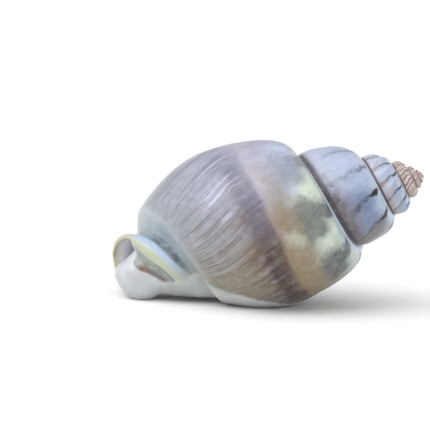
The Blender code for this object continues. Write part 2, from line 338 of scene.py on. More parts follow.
@dataclass(frozen=True)
class Relief:
    """What stands on the plain form: ribs, the cord under the suture, growth ridges, callus and lirae."""

    growth: Growth
    lag: Stations = (
        (0.0, 0.0), (0.35, 0.06), (0.9, 0.12), (1.9, 0.175), (2.8, 0.185), (4.0, 0.26), (8.0, 0.3),
    )
    ribs_per_turn: float = 12.0
    ribs_even_to: float = -2.6
    ribs_spread: float = 0.97
    rib_height: float = 0.05
    rib_sharpening: float = 0.18
    ribs_span: Span = (-1.6, -2.8)
    folds_span: Span = (-0.35, -1.45)
    fold_share: float = 0.2
    cord_place: float = 0.05
    cord_width: float = 0.028
    cord_height: float = 0.016
    pressed_place: float = 0.15
    pressed_width: float = 0.0448
    pressed_share: float = 0.8
    ridge_height: float = 0.02
    ridge_waves: Stations = ((17.0, 1.0, 0.0), (29.0, 0.8, 1.3), (41.0, 0.6, 4.0))
    ridge_swell: tuple[float, float] = (0.6, 0.4)
    swells_per_turn: float = 5.0
    swell_lean: float = 2.0
    ridges_at_suture: Span = (0.0, 0.3)
    ridges_on_side: Span = (0.5, 1.0)
    ridges_on_base: Span = (2.05, 1.65)
    ridge_shares: tuple[float, float] = (0.4, 0.6)
    ridges_span: Span = (-2.2, -1.4)
    ridges_full_from: float = -0.5
    groove_width: float = 0.07
    groove_depth: float = 0.09
    groove_span: Span = (-0.44, -0.52)
    callus_height: float = 0.17
    callus_rounding: float = 0.35
    callus_starts: float = -1.05
    callus_from_suture: Span = (0.05, 0.35)
    callus_to_tip: Span = (7.6, 6.4)
    callus_span: Span = (-1.5, -1.1)
    least_pace: float = 0.3
    callus_edge: Stations = (
        (0.0, -1.25), (0.3, -1.04), (0.6, -0.9), (1.0, -0.79), (1.5, -0.715), (1.75, -0.695),
        (2.0, -0.67), (3.1, -0.66), (4.0, -0.675), (5.4, -0.67),
    )
    lobe_edge: Stations = (
        (-0.75, 4.6), (-0.66, 5.05), (-0.63, 5.5), (-0.6, 6.1), (-0.57, 6.5), (-0.53, 6.6),
        (-0.48, 6.2), (-0.42, 5.2),
    )
    lirae: int = 10
    lira_height: float = 0.14
    lira_sharpness: float = 1.5
    lirae_places: tuple[float, float] = (0.35, 2.3)
    lirae_taper: float = 0.1
    lirae_at_lip: Span = (-0.015, -0.045)
    lirae_inside: Span = (-0.34, -0.14)

    def line_of(self, growth: Array, place: Array) -> Array:
        """Returns which growth line runs here, as the growth at which it leaves the suture."""
        return growth + on_stations(self.lag, place)[..., 0]

    def ribs(self, growth: Array, place: Array) -> Array:
        """Finds the height of the axial ribs and folds.

        Args:
            growth: Growth in turns.
            place: Place along the profile, with the same shape.

        Returns:
            The height, over the whorl's radius.
        """
        ribs = rising(growth, self.ribs_span)
        folds = self.fold_share * rising(growth, self.folds_span)
        line = self.line_of(growth, place) - self.ribs_even_to
        phase = math.tau * (self.ribs_per_turn * line - self.ribs_spread * np.maximum(line, 0.0) ** 2)
        across = np.sin(math.pi * np.clip(place, 0.0, 1.0))
        wave = -np.cos(phase) + self.rib_sharpening * np.cos(2.0 * phase)
        return self.rib_height * np.maximum(ribs, folds) * wave * across

    def cord(self, growth: Array, place: Array) -> Array:
        """Finds the height of the narrow cord under the suture and of the line pressed in below it.

        Args:
            growth: Growth in turns.
            place: Place along the profile, with the same shape.

        Returns:
            The height in millimetres.
        """
        raised = bell(place, self.cord_place, self.cord_width)
        pressed = self.pressed_share * bell(place, self.pressed_place, self.pressed_width)
        return self.cord_height * self.growth.whorl(growth)[0][..., 0] * (raised - pressed)

    def growth_ridges(self, growth: Array, place: Array) -> Array:
        """Finds the height of the low, uneven ridges that follow the growth lines.

        Args:
            growth: Growth in turns.
            place: Place along the profile, with the same shape.

        Returns:
            The height in millimetres.
        """
        line = self.line_of(growth, place) * math.tau
        wave = sum(share * np.sin(count * line + start) for count, share, start in self.ridge_waves)
        middle, depth = self.ridge_swell
        swell = middle + depth * np.sin(self.swells_per_turn * line + self.swell_lean * place)
        spans = (self.ridges_at_suture, self.ridges_on_side)
        across = sum(share * rising(place, span) for share, span in zip(self.ridge_shares, spans))
        across = across * rising(place, self.ridges_on_base)
        size = np.minimum(self.growth.widening ** (growth - self.ridges_full_from), 1.0)
        return self.ridge_height * wave * swell * across * size * rising(growth, self.ridges_span)

    def callus_depth(self, growth: Array, place: Array) -> Array:
        """Finds how far inside the callus's edge points are.

        Args:
            growth: Growth in turns.
            place: Place along the profile, with the same shape.

        Returns:
            Millimetres inside the edge, below 0 outside it.
        """
        step = 0.02
        edge = on_stations(self.callus_edge, place)[..., 0]
        slope = (on_stations(self.callus_edge, place + step)[..., 0] - edge) / step
        here = self.growth.point(growth, place)
        pace = np.linalg.norm(self.growth.point(growth, place + step) - here, axis=-1) / step
        around = np.maximum(math.tau * here[..., 0], 1e-3)
        pace = np.maximum(pace, self.least_pace)
        steepness = np.hypot(1.0 / around, slope / pace)
        inside = (edge - growth) / steepness
        above = (growth - self.callus_starts) * around
        inside = np.where(place < Place.PERIPHERY, np.minimum(inside, above), inside)
        below = (place - on_stations(self.lobe_edge, growth)[..., 0]) * pace
        return np.maximum(inside, np.where(place > Place.RIDGE, below, inside))

    def callus(self, growth: Array, place: Array) -> Array:
        """Finds the height of the callus, whose edge is rounded.

        Args:
            growth: Growth in turns.
            place: Place along the profile, with the same shape.

        Returns:
            The height in millimetres.
        """
        depth = np.clip(self.callus_depth(growth, place) / self.callus_rounding, 0.0, 1.0)
        swell = 1.0 - (1.0 - depth) ** 2
        fade = rising(place, self.callus_from_suture) * rising(place, self.callus_to_tip)
        fade = fade * rising(growth, self.callus_span)
        return self.callus_height * np.sqrt(np.maximum(swell, 0.0)) * fade

    def outside(self, growth: Array, place: Array) -> Array:
        """Finds points of the finished outside.

        Args:
            growth: Growth in turns.
            place: Place along the profile, with the same shape.

        Returns:
            (radius, depth) of each.
        """
        point = self.growth.point(growth, place)
        bare = 1.0 - eased(self.callus_depth(growth, place) / self.callus_rounding)
        height = self.callus(growth, place) + self.growth_ridges(growth, place) * bare
        height = height + self.cord(growth, place)
        incised = bell(place, Place.GROOVE, self.groove_width) * bare
        height = height - self.groove_depth * incised * rising(growth, self.groove_span)
        point = point + self.growth.outward(growth, place) * height[..., None]
        swelling = 1.0 + self.ribs(growth, place)
        return point * np.stack((swelling, np.ones_like(swelling)), axis=-1)

    def lira(self, growth: Array, place: Array) -> Array:
        """Finds the height of the fine ridges that run into the aperture behind the outer lip.

        Args:
            growth: Growth in turns.
            place: Place along the profile, with the same shape.

        Returns:
            The height in millimetres.
        """
        start, end = self.lirae_places
        share = (place - start) / (end - start)
        wave = 0.5 - 0.5 * np.cos(math.tau * self.lirae * share)
        across = eased(share / self.lirae_taper) * eased((1.0 - share) / self.lirae_taper)
        along = rising(growth, self.lirae_at_lip) * rising(growth, self.lirae_inside)
        return self.lira_height * wave**self.lira_sharpness * across * along


@dataclass(frozen=True)
class Wall:
    """The shell's wall and the cavity under it."""

    relief: Relief
    thickness: float = 0.5
    lip_thickness: float = 0.85
    lip_span: Span = (-0.2, 0.0)
    canal_thinning: float = 0.2
    thins_before: float = -0.33
    suture_share: float = 0.55
    suture_gain: float = 1.4
    floor_span: Span = (-0.4, -0.85)
    floor_shares: tuple[float, ...] = (0.0, 2.0 / 7.0, 4.0 / 7.0, 6.0 / 7.0, 1.0)
    floor_curve: float = 1.6
    outward_reach: float = 0.2

    def slimness(self, growth: Array) -> Array:
        """Returns the wall's thickness in the early whorls, over that of the last one."""
        return np.minimum(1.0, self.relief.growth.widening ** (growth - self.thins_before))

    def thickness_at(self, growth: Array, place: Array) -> Array:
        """Finds the wall's thickness: thin in the early whorls and the canal, thick at the lip.

        Args:
            growth: Growth in turns.
            place: Place along the profile, with the same shape.

        Returns:
            The thickness in millimetres.
        """
        wall = self.thickness * self.slimness(growth)
        canal = rising(place, (Place.BASE, Place.RIDGE))
        at_suture = np.minimum(1.0, self.suture_share + self.suture_gain * place)
        lip = (self.lip_thickness - self.thickness) * rising(growth, self.lip_span)
        return (wall * (1.0 - self.canal_thinning * canal) + lip * (1.0 - canal)) * at_suture

    def offset(self, growth: Array, place: Array) -> Array:
        """Finds points of the surface that lies one wall under the outside.

        Args:
            growth: Growth in turns.
            place: Place along the profile, with the same shape.

        Returns:
            (radius, depth) of each.
        """
        form = self.relief.growth
        depth = self.thickness_at(growth, place) + self.relief.lira(growth, place)
        outward = form.outward(growth, place, self.outward_reach)
        return form.point(growth, place) - outward * depth[..., None]

    def cavity(self, growth: Array, place: Array) -> Array:
        """Finds points of the cavity, whose floor runs straight to the pillar far in.

        Args:
            growth: Growth in turns.
            place: Place along the profile, with the same shape.

        Returns:
            (radius, depth) of each.
        """
        point = self.offset(growth, place)
        start = self.offset(growth, np.full_like(place, Place.BASE))
        end = self.relief.growth.line(self.relief.growth.callus, growth - 1.0)
        t = np.interp(place, range(Place.BASE, Place.CALLUS + 1), self.floor_shares)[..., None]
        floor = start + (end - start) * np.concatenate((t, t**self.floor_curve), axis=-1)
        share = rising(growth, self.floor_span)[..., None]
        below = (place > Place.BASE)[..., None]
        return np.where(below, point + (floor - point) * share, point)


@dataclass(frozen=True)
class Rows:
    """The rows of the mesh, counted from the suture."""

    periphery: int = 28
    base: int = 53
    groove: int = 63
    ridge: int = 75
    furrow: int = 81
    callus: int = 85
    lobe: int = 93
    tip: int = 103
    crowding: float = 1.35
    root: float = 1.3

    def place(self, row: Array, growth: Array, wall: Wall) -> Array:
        """Finds where a row lies along the profile.

        Args:
            row: Row numbers.
            growth: Growth at each of them.
            wall: The wall, whose thickness sets where the next whorl's inner side starts.

        Returns:
            The place along the profile of each.
        """
        form = wall.relief.growth
        drop = form.line(form.base, growth)[..., 1] - form.whorl(growth)[1][..., 1]
        root = self.root * wall.thickness * wall.slimness(growth + 1.0) / drop
        share = (row - self.periphery - 1) / (self.base - self.periphery - 1)
        rows = (self.base, self.groove, self.ridge, self.furrow, self.callus, self.lobe, self.tip)
        lower = np.interp(row, rows, range(Place.BASE, Place.TIP + 1))
        band = (row / self.periphery) ** self.crowding
        upper = np.where(row > self.periphery, 1.0 + root + (1.0 - root) * share, band)
        return np.where(row >= self.base, lower, upper)


@dataclass
class Surface:
    """Points and faces gathered before they become a mesh."""

    points: list[Array] = field(default_factory=list)
    values: list[Array] = field(default_factory=list)
    faces: list[list[int]] = field(default_factory=list)
    maps: list[list[list[float]]] = field(default_factory=list)
    layers: list[int] = field(default_factory=list)
    count: int = 0

    def add_points(self, points: Array, callus: Array | float, lip: Array | float) -> Array:
        """Stores points.

        Args:
            points: (x, y, z) of each, in any array shape.
            callus: How far inside the callus's edge each is.
            lip: How far from the lip's edge each is.

        Returns:
            Their numbers, in the shape of the points.
        """
        shape = points.shape[:-1]
        numbers = self.count + np.arange(math.prod(shape)).reshape(shape)
        values = np.stack((np.broadcast_to(callus, shape), np.broadcast_to(lip, shape)), axis=-1)
        self.points.append(points.reshape(-1, 3))
        self.values.append(values.reshape(-1, 2))
        self.count += numbers.size
        return numbers

    def add_face(self, corners: list[int], coordinates: list[list[float]], layer: Layer) -> None:
        """Adds a face, leaving out corners that fall together.

        Args:
            corners: The numbers of its points.
            coordinates: Where each point is on the map.
            layer: The surface it belongs to.
        """
        kept = {number: place for number, place in zip(corners, coordinates)}
        if len(kept) > 2:
            self.faces.append(list(kept))
            self.maps.append(list(kept.values()))
            self.layers.append(layer.value)

    def add_grid(self, numbers: Array, coordinates: Array, layer: Layer) -> None:
        """Adds the quads of a grid, facing away from the wall.

        Args:
            numbers: The points' numbers, in rows and columns.
            coordinates: Where each point is on the map.
            layer: The surface they belong to.
        """
        order = ((0, 0), (1, 0), (1, 1), (0, 1))
        order = order if layer is Layer.OUTSIDE else order[::-1]
        tall, wide = numbers.shape
        corners = np.stack([numbers[i : tall - 1 + i, j : wide - 1 + j] for i, j in order], axis=-1)
        places = np.stack([coordinates[i : tall - 1 + i, j : wide - 1 + j] for i, j in order], axis=-2)
        for quad, at in zip(corners.reshape(-1, 4).tolist(), places.reshape(-1, 4, 2).tolist()):
            self.add_face(quad, at, layer)

    def fan(self, ring: list[int], coordinates: list[list[float]], middle: int, layer: Layer) -> None:
        """Closes a ring of points with triangles to a point in its middle.

        Args:
            ring: The numbers of the ring's points.
            coordinates: Where each point is on the map.
            middle: The number of the middle point.
            layer: The surface they belong to.
        """
        for k, number in enumerate(ring):
            after = (k + 1) % len(ring)
            places = [coordinates[k], coordinates[after], coordinates[k]]
            self.add_face([number, ring[after], middle], places, layer)

    def gathered(self) -> tuple[Array, Array]:
        """Returns all points and their values."""
        return np.concatenate(self.points), np.concatenate(self.values)


@dataclass
class ShellGrid:
    """The grid of growth steps and rows, whose points neighbouring whorls share."""

    wall: Wall
    rows: Rows = field(default_factory=Rows)
    surface: Surface = field(default_factory=Surface)
    steps_per_turn: int = 156
    notch: float = -5.0 / 12.0
    setback: float = 0.083
    setback_shares: tuple[float, ...] = (0.0, 5.0 / 9.0, 7.0 / 9.0, 1.0)
    hollow_turns: float = 2.5
    rim_steps: int = 6
    rim_bulge: float = 0.55
    rim_rises: float = 8.0
    rim_reach: int = 4
    dome_rings: int = 5
    dome_depth: float = 0.35
    closing_steps: int = 7

    def __post_init__(self) -> None:
        """Numbers the steps that matter and places every grid point."""
        turns = self.wall.relief.growth.turns
        self.last = round(turns * self.steps_per_turn)
        self.notch_step = self.last + round(self.notch * self.steps_per_turn)
        self.blind_step = self.last - round(self.hollow_turns * self.steps_per_turn)
        self.growths, self.places = self.grid()
        lines = self.wall.relief.line_of(self.growths, self.places)
        self.coordinates = np.stack((lines, self.places), axis=-1)
        self.lip_distances = self.to_lip()
        self.outside = self.number_outside()
        self.inside = self.number_inside()

    def grid(self) -> tuple[Array, Array]:
        """Places every (step, row). The lower rows lag behind the lip.

        Returns:
            The growth and the place of each.
        """
        rows = self.rows
        step, row = np.meshgrid(np.arange(self.last + 1), np.arange(rows.tip + 1), indexing="ij")
        growth = (step - self.last) / self.steps_per_turn
        place = rows.place(row, growth, self.wall)
        share = np.interp(place, range(Place.PERIPHERY, Place.RIDGE + 1), self.setback_shares)
        lag = eased(share) * self.setback * (1.0 - growth / self.notch)
        near_lip = (step > self.notch_step) & (row <= rows.ridge)
        growth = growth - np.where(near_lip, lag, 0.0)
        return growth, rows.place(row, growth, self.wall)

    def to_lip(self) -> Array:
        """Measures from every grid point to the edge of the lip or of the notch.

        Returns:
            The distances in millimetres.
        """
        form = self.wall.relief.growth
        points = form.point(self.growths, self.places)
        around = math.tau * points[..., 0]
        rows = np.arange(self.rows.tip + 1)
        edge = self.growths[np.where(rows > self.rows.ridge, self.notch_step, self.last), rows]
        along = (edge - self.growths) * around
        down = np.linalg.norm(points - points[:, self.rows.ridge : self.rows.ridge + 1], axis=-1)
        back = np.maximum(self.notch - self.growths, 0.0) * around
        nearest = np.minimum(along, np.hypot(down, back))
        return np.where(rows > self.rows.ridge, along, nearest)

    def number_outside(self) -> Array:
        """Places the outside's points, which whorls share where they meet.

        Returns:
            The point's number for every (step, row).
        """
        rows, turn, relief = self.rows, self.steps_per_turn, self.wall.relief
        points = relief.outside(self.growths, self.places)
        points[:, rows.tip] = (0.0, relief.growth.length)
        points = placed(self.growths, points)
        start = self.notch_step - turn
        below = slice(rows.callus + 1, rows.tip)
        for step in range(1, self.closing_steps):
            share = eased(step / self.closing_steps)
            points[start + step, below] *= share
            points[start + step, below] += (1.0 - share) * points[self.notch_step, below]
        depth = relief.callus_depth(self.growths, self.places)
        found = self.surface.add_points(points, depth, self.lip_distances)
        found[: self.last + 1 - turn, rows.periphery] = found[turn:, 0]
        found[start, rows.callus + 1 :] = found[self.notch_step, rows.callus + 1 :]
        found[:, rows.tip] = found[0, rows.tip]
        return found

    def number_inside(self) -> Array:
        """Places the cavity's points. Its two edges lie on the outside of the whorl before it.

        Returns:
            The point's number for every (step, row) down to the callus.
        """
        rows, turn = self.rows, self.steps_per_turn
        part = np.s_[:, : rows.callus + 1]
        points = placed(self.growths[part], self.wall.cavity(self.growths[part], self.places[part]))
        found = self.surface.add_points(points, UNDER_CALLUS, self.lip_distances[part])
        found[turn:, 0] = self.outside[: self.last + 1 - turn, rows.periphery + 1]
        found[turn:, rows.callus] = self.outside[: self.last + 1 - turn, rows.callus]
        return found

    def patch(self, layer: Layer, steps: tuple[int, int], rows: tuple[int, int]) -> None:
        """Adds the quads of one stretch of the outside or of the cavity.

        Args:
            layer: Which of the two.
            steps: The first step and the last.
            rows: The first row and the last.
        """
        numbers = self.outside if layer is Layer.OUTSIDE else self.inside
        part = np.s_[steps[0] : steps[1] + 1, rows[0] : rows[1] + 1]
        self.surface.add_grid(numbers[part], self.coordinates[part], layer)

    def add_outside(self) -> None:
        """Adds the whorls' outside, with the old whorls' base and the pillar that the cavity bares."""
        rows = self.rows
        before_lip = self.last - self.steps_per_turn
        start, new = self.notch_step - self.steps_per_turn, self.notch_step
        self.patch(Layer.OUTSIDE, (0, self.last), (0, rows.periphery))
        self.patch(Layer.OUTSIDE, (before_lip, self.last), (rows.periphery, rows.ridge))
        self.patch(Layer.OUTSIDE, (before_lip, new), (rows.ridge, rows.tip))
        blind = self.blind_step - self.steps_per_turn
        self.patch(Layer.OUTSIDE, (blind, before_lip), (rows.periphery + 1, rows.callus))
        self.patch(Layer.OUTSIDE, (start + 1, before_lip), (rows.callus, rows.tip))
        self.patch(Layer.OUTSIDE, (start, start + 1), (rows.callus + 1, rows.tip))
        next_old, end = (start + 1, rows.callus), (new, rows.callus)
        triangle = ((start, rows.callus), next_old, end)
        quad = (end, next_old, (start + 1, rows.callus + 1), (new, rows.callus + 1))
        for corners in (triangle, quad):
            numbers = [int(self.outside[corner]) for corner in corners]
            coordinates = [self.coordinates[corner].tolist() for corner in corners]
            self.surface.add_face(numbers, coordinates, Layer.OUTSIDE)

    def add_inside(self) -> None:
        """Adds the cavity, with its blind end."""
        rows, turn = self.rows, self.steps_per_turn
        self.patch(Layer.INSIDE, (self.blind_step, self.notch_step), (0, rows.callus))
        self.patch(Layer.INSIDE, (self.notch_step, self.last), (0, rows.ridge))
        ring = self.inside[self.blind_step, : rows.callus + 1].tolist()
        ring += self.outside[self.blind_step - turn, rows.periphery + 1 : rows.callus][::-1].tolist()
        points, _ = self.surface.gathered()
        middle = points[ring].mean(axis=0)
        back = math.tau / self.steps_per_turn
        middle = middle @ np.array(Matrix.Rotation(back, 3, "Z")).T
        number = int(self.surface.add_points(middle[None], UNDER_CALLUS, FAR_FROM_LIP)[0])
        at = self.coordinates[self.blind_step, 0].tolist()
        self.surface.fan(ring, [at] * len(ring), number, Layer.INSIDE)

    def add_rim(self) -> None:
        """Adds the rounded edge that runs along the lip and round the notch."""
        rows = self.rows
        path = [(self.last, row) for row in range(rows.ridge + 1)]
        path += [(step, rows.ridge) for step in range(self.last - 1, self.notch_step - 1, -1)]
        path += [(self.notch_step, row) for row in range(rows.ridge + 1, rows.callus + 1)]
        steps, place = zip(*path)
        outer, inner = self.outside[steps, place], self.inside[steps, place]
        points, values = self.surface.gathered()
        middle = (points[outer] + points[inner]) / 2.0
        half = (points[outer] - points[inner]) / 2.0
        along = np.zeros_like(middle)
        reach = self.rim_reach
        along[reach:-reach] = middle[2 * reach :] - middle[: -2 * reach]
        along[:reach], along[-reach:] = along[reach], along[-reach - 1]
        out = np.cross(half, along)
        out /= np.linalg.norm(out, axis=-1, keepdims=True)
        lip, before = points[self.outside[[self.last, self.last - 1], rows.base]]
        if out[rows.base] @ (lip - before) < 0.0:
            out = -out
        to_end = np.arange(len(path))
        to_end = np.minimum(to_end, to_end[::-1])
        bulge = self.rim_bulge * np.linalg.norm(half, axis=-1) * eased(to_end / self.rim_rises)
        columns = [outer]
        for step in range(1, self.rim_steps):
            turn = math.pi * step / self.rim_steps
            round_point = middle + half * math.cos(turn) + out * (bulge * math.sin(turn))[:, None]
            columns.append(self.surface.add_points(round_point, values[outer, 0], 0.0))
        columns.append(inner)
        grid = np.stack(columns, axis=-1)
        coordinates = np.repeat(self.coordinates[steps, place][:, None], grid.shape[1], axis=1)
        self.surface.add_grid(grid[1:-1], coordinates[1:-1], Layer.INSIDE)
        for end, near in ((0, 1), (-1, -2)):
            corners = [int(outer[end]), int(inner[end]), *grid[near][::-1].tolist()]
            at = [coordinates[end, 0].tolist()] * 2 + coordinates[near].tolist()
            self.surface.add_face(corners, at, Layer.OUTSIDE)

    def add_apex(self) -> None:
        """Adds the smooth dome at the point of the spire."""
        ring = self.outside[self.steps_per_turn : 0 : -1, 0].tolist()
        ring += self.outside[0, : self.rows.periphery].tolist()
        points, _ = self.surface.gathered()
        edge = points[ring]
        middle = np.array((0.0, 0.0, self.dome_depth * edge[:, 2].max()))
        numbers = [np.array(ring)]
        for step in range(1, self.dome_rings):
            t = step / self.dome_rings
            shares = np.array((t, t, math.sin(t * math.pi / 2.0)))
            ring_points = edge + (middle - edge) * shares
            numbers.append(self.surface.add_points(ring_points, 0.0, FAR_FROM_LIP))
        top = int(self.surface.add_points(middle[None], 0.0, FAR_FROM_LIP)[0])
        loops = np.stack([np.append(loop, loop[0]) for loop in numbers], axis=-1)
        at = np.broadcast_to(self.coordinates[0, 0], (*loops.shape, 2))
        self.surface.add_grid(loops, at, Layer.OUTSIDE)
        inner = numbers[-1].tolist()
        self.surface.fan(inner, [self.coordinates[0, 0].tolist()] * len(inner), top, Layer.OUTSIDE)


def direction(around: float, forward: float) -> Vector:
    """Returns the unit direction at an angle about the shell's axis, tipped towards its anterior end."""
    flat = math.cos(forward)
    return Vector((flat * math.cos(around), flat * math.sin(around), -math.sin(forward)))


@dataclass(frozen=True)
class ShellPiece:
    """The shell as one piece, turned to lie on its aperture and set where the frame has it."""

    grid: ShellGrid
    down_around: float = math.radians(304.82)
    down_forward: float = math.radians(20.73)
    name: str = "fine_shell"
    map_name: str = "growth"

    def turn(self) -> Matrix:
        """Finds the turn that lays the shell down, aperture down and anterior end towards -X.

        Returns:
            The turn from shell coordinates to the world.
        """
        up = -direction(self.down_around, self.down_forward)
        apex = Vector((0.0, 0.0, 1.0))
        right = (apex - apex.dot(up) * up).normalized()
        return Matrix((right, up.cross(right), up))

    def build(self, materials: list[bpy.types.Material]) -> bpy.types.Object:
        """Makes the piece.

        Args:
            materials: One for each layer of the wall.

        Returns:
            The finished object, at the origin.
        """
        self.grid.add_outside()
        self.grid.add_inside()
        self.grid.add_rim()
        self.grid.add_apex()
        surface = self.grid.surface
        points, values = surface.gathered()
        corners = np.concatenate([np.array(face) for face in surface.faces])
        used, renumbered = np.unique(corners, return_inverse=True)
        points = points[used] @ np.array(self.turn()).T * MM
        low, high = CAD_BOX
        middle = (points.min(axis=0) + points.max(axis=0)) / 2.0
        offset = (np.array(low) + np.array(high)) / 2.0 - middle
        offset[2] = high.z - points[:, 2].max()
        points += offset
        points[:, 2] = np.maximum(points[:, 2], 0.0)

        sizes = [len(face) for face in surface.faces]
        faces = [part.tolist() for part in np.split(renumbered, np.cumsum(sizes)[:-1])]
        mesh = bpy.data.meshes.new(self.name)
        mesh.from_pydata(points.tolist(), [], faces)
        mesh.polygons.foreach_set("material_index", surface.layers)
        layer = mesh.uv_layers.new(name=self.map_name)
        coordinates = np.concatenate([np.array(face) for face in surface.maps])
        layer.uv.foreach_set("vector", coordinates.astype(np.float32).ravel())
        for column, name in enumerate((CALLUS_VALUES, LIP_VALUES)):
            attribute = mesh.attributes.new(name, "FLOAT", "POINT")
            attribute.data.foreach_set("value", values[used, column].astype(np.float32))
        for material in materials:
            mesh.materials.append(material)
        made = bpy.data.objects.new(self.name, mesh)
        bpy.context.scene.collection.objects.link(made)
        self.finish(made)
        return made

    def finish(self, made: bpy.types.Object) -> None:
        """Turns all faces outwards and shades them smooth.

        Args:
            made: The shell.
        """
        bpy.ops.object.select_all(action="DESELECT")
        made.select_set(True)
        bpy.context.view_layer.objects.active = made
        bpy.ops.object.mode_set(mode="EDIT")
        bpy.ops.mesh.select_all(action="SELECT")
        bpy.ops.mesh.normals_make_consistent(inside=False)
        if bmesh.from_edit_mesh(made.data).calc_volume(signed=True) < 0.0:
            bpy.ops.mesh.flip_normals()
        bpy.ops.object.mode_set(mode="OBJECT")
        bpy.ops.object.shade_smooth()


def linear(code: str) -> tuple[float, float, float, float]:
    """Returns the linear colour of a code such as c9cfcf."""
    parts = [int(code[k : k + 2], 16) / 255.0 for k in (0, 2, 4)]
    return (*(p / 12.92 if p <= 0.04045 else ((p + 0.055) / 1.055) ** 2.4 for p in parts), 1.0)


@dataclass
class Wiring:
    """Adds nodes to one tree and joins them."""

    tree: bpy.types.NodeTree

    def node(self, kind: str, **settings: object) -> bpy.types.Node:
        """Adds a node.

        Args:
            kind: Its type.
            settings: Its properties.

        Returns:
            The node.
        """
        made = self.tree.nodes.new(kind)
        for name, setting in settings.items():
            setattr(made, name, setting)
        return made

    def feed(self, socket: Socket, value: Value) -> None:
        """Joins a socket to an input, or sets the input's own value.

        Args:
            socket: The input.
            value: The socket or the plain value.
        """
        if isinstance(value, bpy.types.NodeSocket):
            self.tree.links.new(value, socket)
        else:
            socket.default_value = value

    def math(self, operation: str, *values: Value) -> Socket:
        """Adds a Math node.

        Args:
            operation: What it does.
            values: What goes into its inputs.

        Returns:
            Its result.
        """
        node = self.node("ShaderNodeMath", operation=operation)
        for socket, value in zip(node.inputs, values):
            self.feed(socket, value)
        return node.outputs[0]

    def combine(self, x: Value, y: Value, z: Value) -> Socket:
        """Makes a vector from three numbers.

        Args:
            x: The first number.
            y: The second number.
            z: The third number.

        Returns:
            The vector.
        """
        node = self.node("ShaderNodeCombineXYZ")
        for socket, value in zip(node.inputs, (x, y, z)):
            self.feed(socket, value)
        return node.outputs[0]

    def step(self, value: Value, start: float, end: float) -> Socket:
        """Makes a mask that rises smoothly. Its end may be the lower of the two.

        Args:
            value: What it reads.
            start: Where it leaves 0.
            end: Where it reaches 1.

        Returns:
            The mask, 0 at the start and 1 at the end.
        """
        node = self.node("ShaderNodeMapRange", interpolation_type="SMOOTHSTEP")
        ends = (0.0, 1.0) if start <= end else (1.0, 0.0)
        names = ("Value", "From Min", "From Max", "To Min", "To Max")
        for name, setting in zip(names, (value, min(start, end), max(start, end), *ends)):
            self.feed(node.inputs[name], setting)
        return node.outputs["Result"]

    def mix(self, share: Value, first: Value, second: Value) -> Socket:
        """Mixes two colours.

        Args:
            share: How much of the second shows, 0 to 1.
            first: The first colour.
            second: The second colour.

        Returns:
            The mixed colour.
        """
        node = self.node("ShaderNodeMix", data_type="RGBA")
        for number, value in ((0, share), (6, first), (7, second)):
            self.feed(node.inputs[number], value)
        return node.outputs[2]

    def ramp(self, value: Value, stops: Ramp, span: float = 1.0) -> Socket:
        """Returns a colour read from stops.

        Args:
            value: Where to read.
            stops: Each stop's position and colour code.
            span: The position of the ramp's far end.

        Returns:
            The colour's socket.
        """
        node = self.node("ShaderNodeValToRGB")
        node.color_ramp.interpolation = "EASE" if len(stops) < 4 else "LINEAR"
        elements = node.color_ramp.elements
        while len(elements) < len(stops):
            elements.new(1.0)
        for element, (position, code) in zip(elements, stops):
            element.position = position / span
            element.color = linear(code)
        self.feed(node.inputs[0], self.math("DIVIDE", value, span))
        return node.outputs[0]

    def group(self, tree: bpy.types.NodeTree, **inputs: Value) -> bpy.types.Node:
        """Adds a node that holds a group.

        Args:
            tree: The group.
            inputs: Its inputs, with _ for each space in a name.

        Returns:
            The node.
        """
        node = self.node("ShaderNodeGroup", node_tree=tree)
        for name, value in inputs.items():
            self.feed(node.inputs[name.replace("_", " ")], value)
        return node


GroupParts = tuple[Wiring, bpy.types.Node, bpy.types.Node]


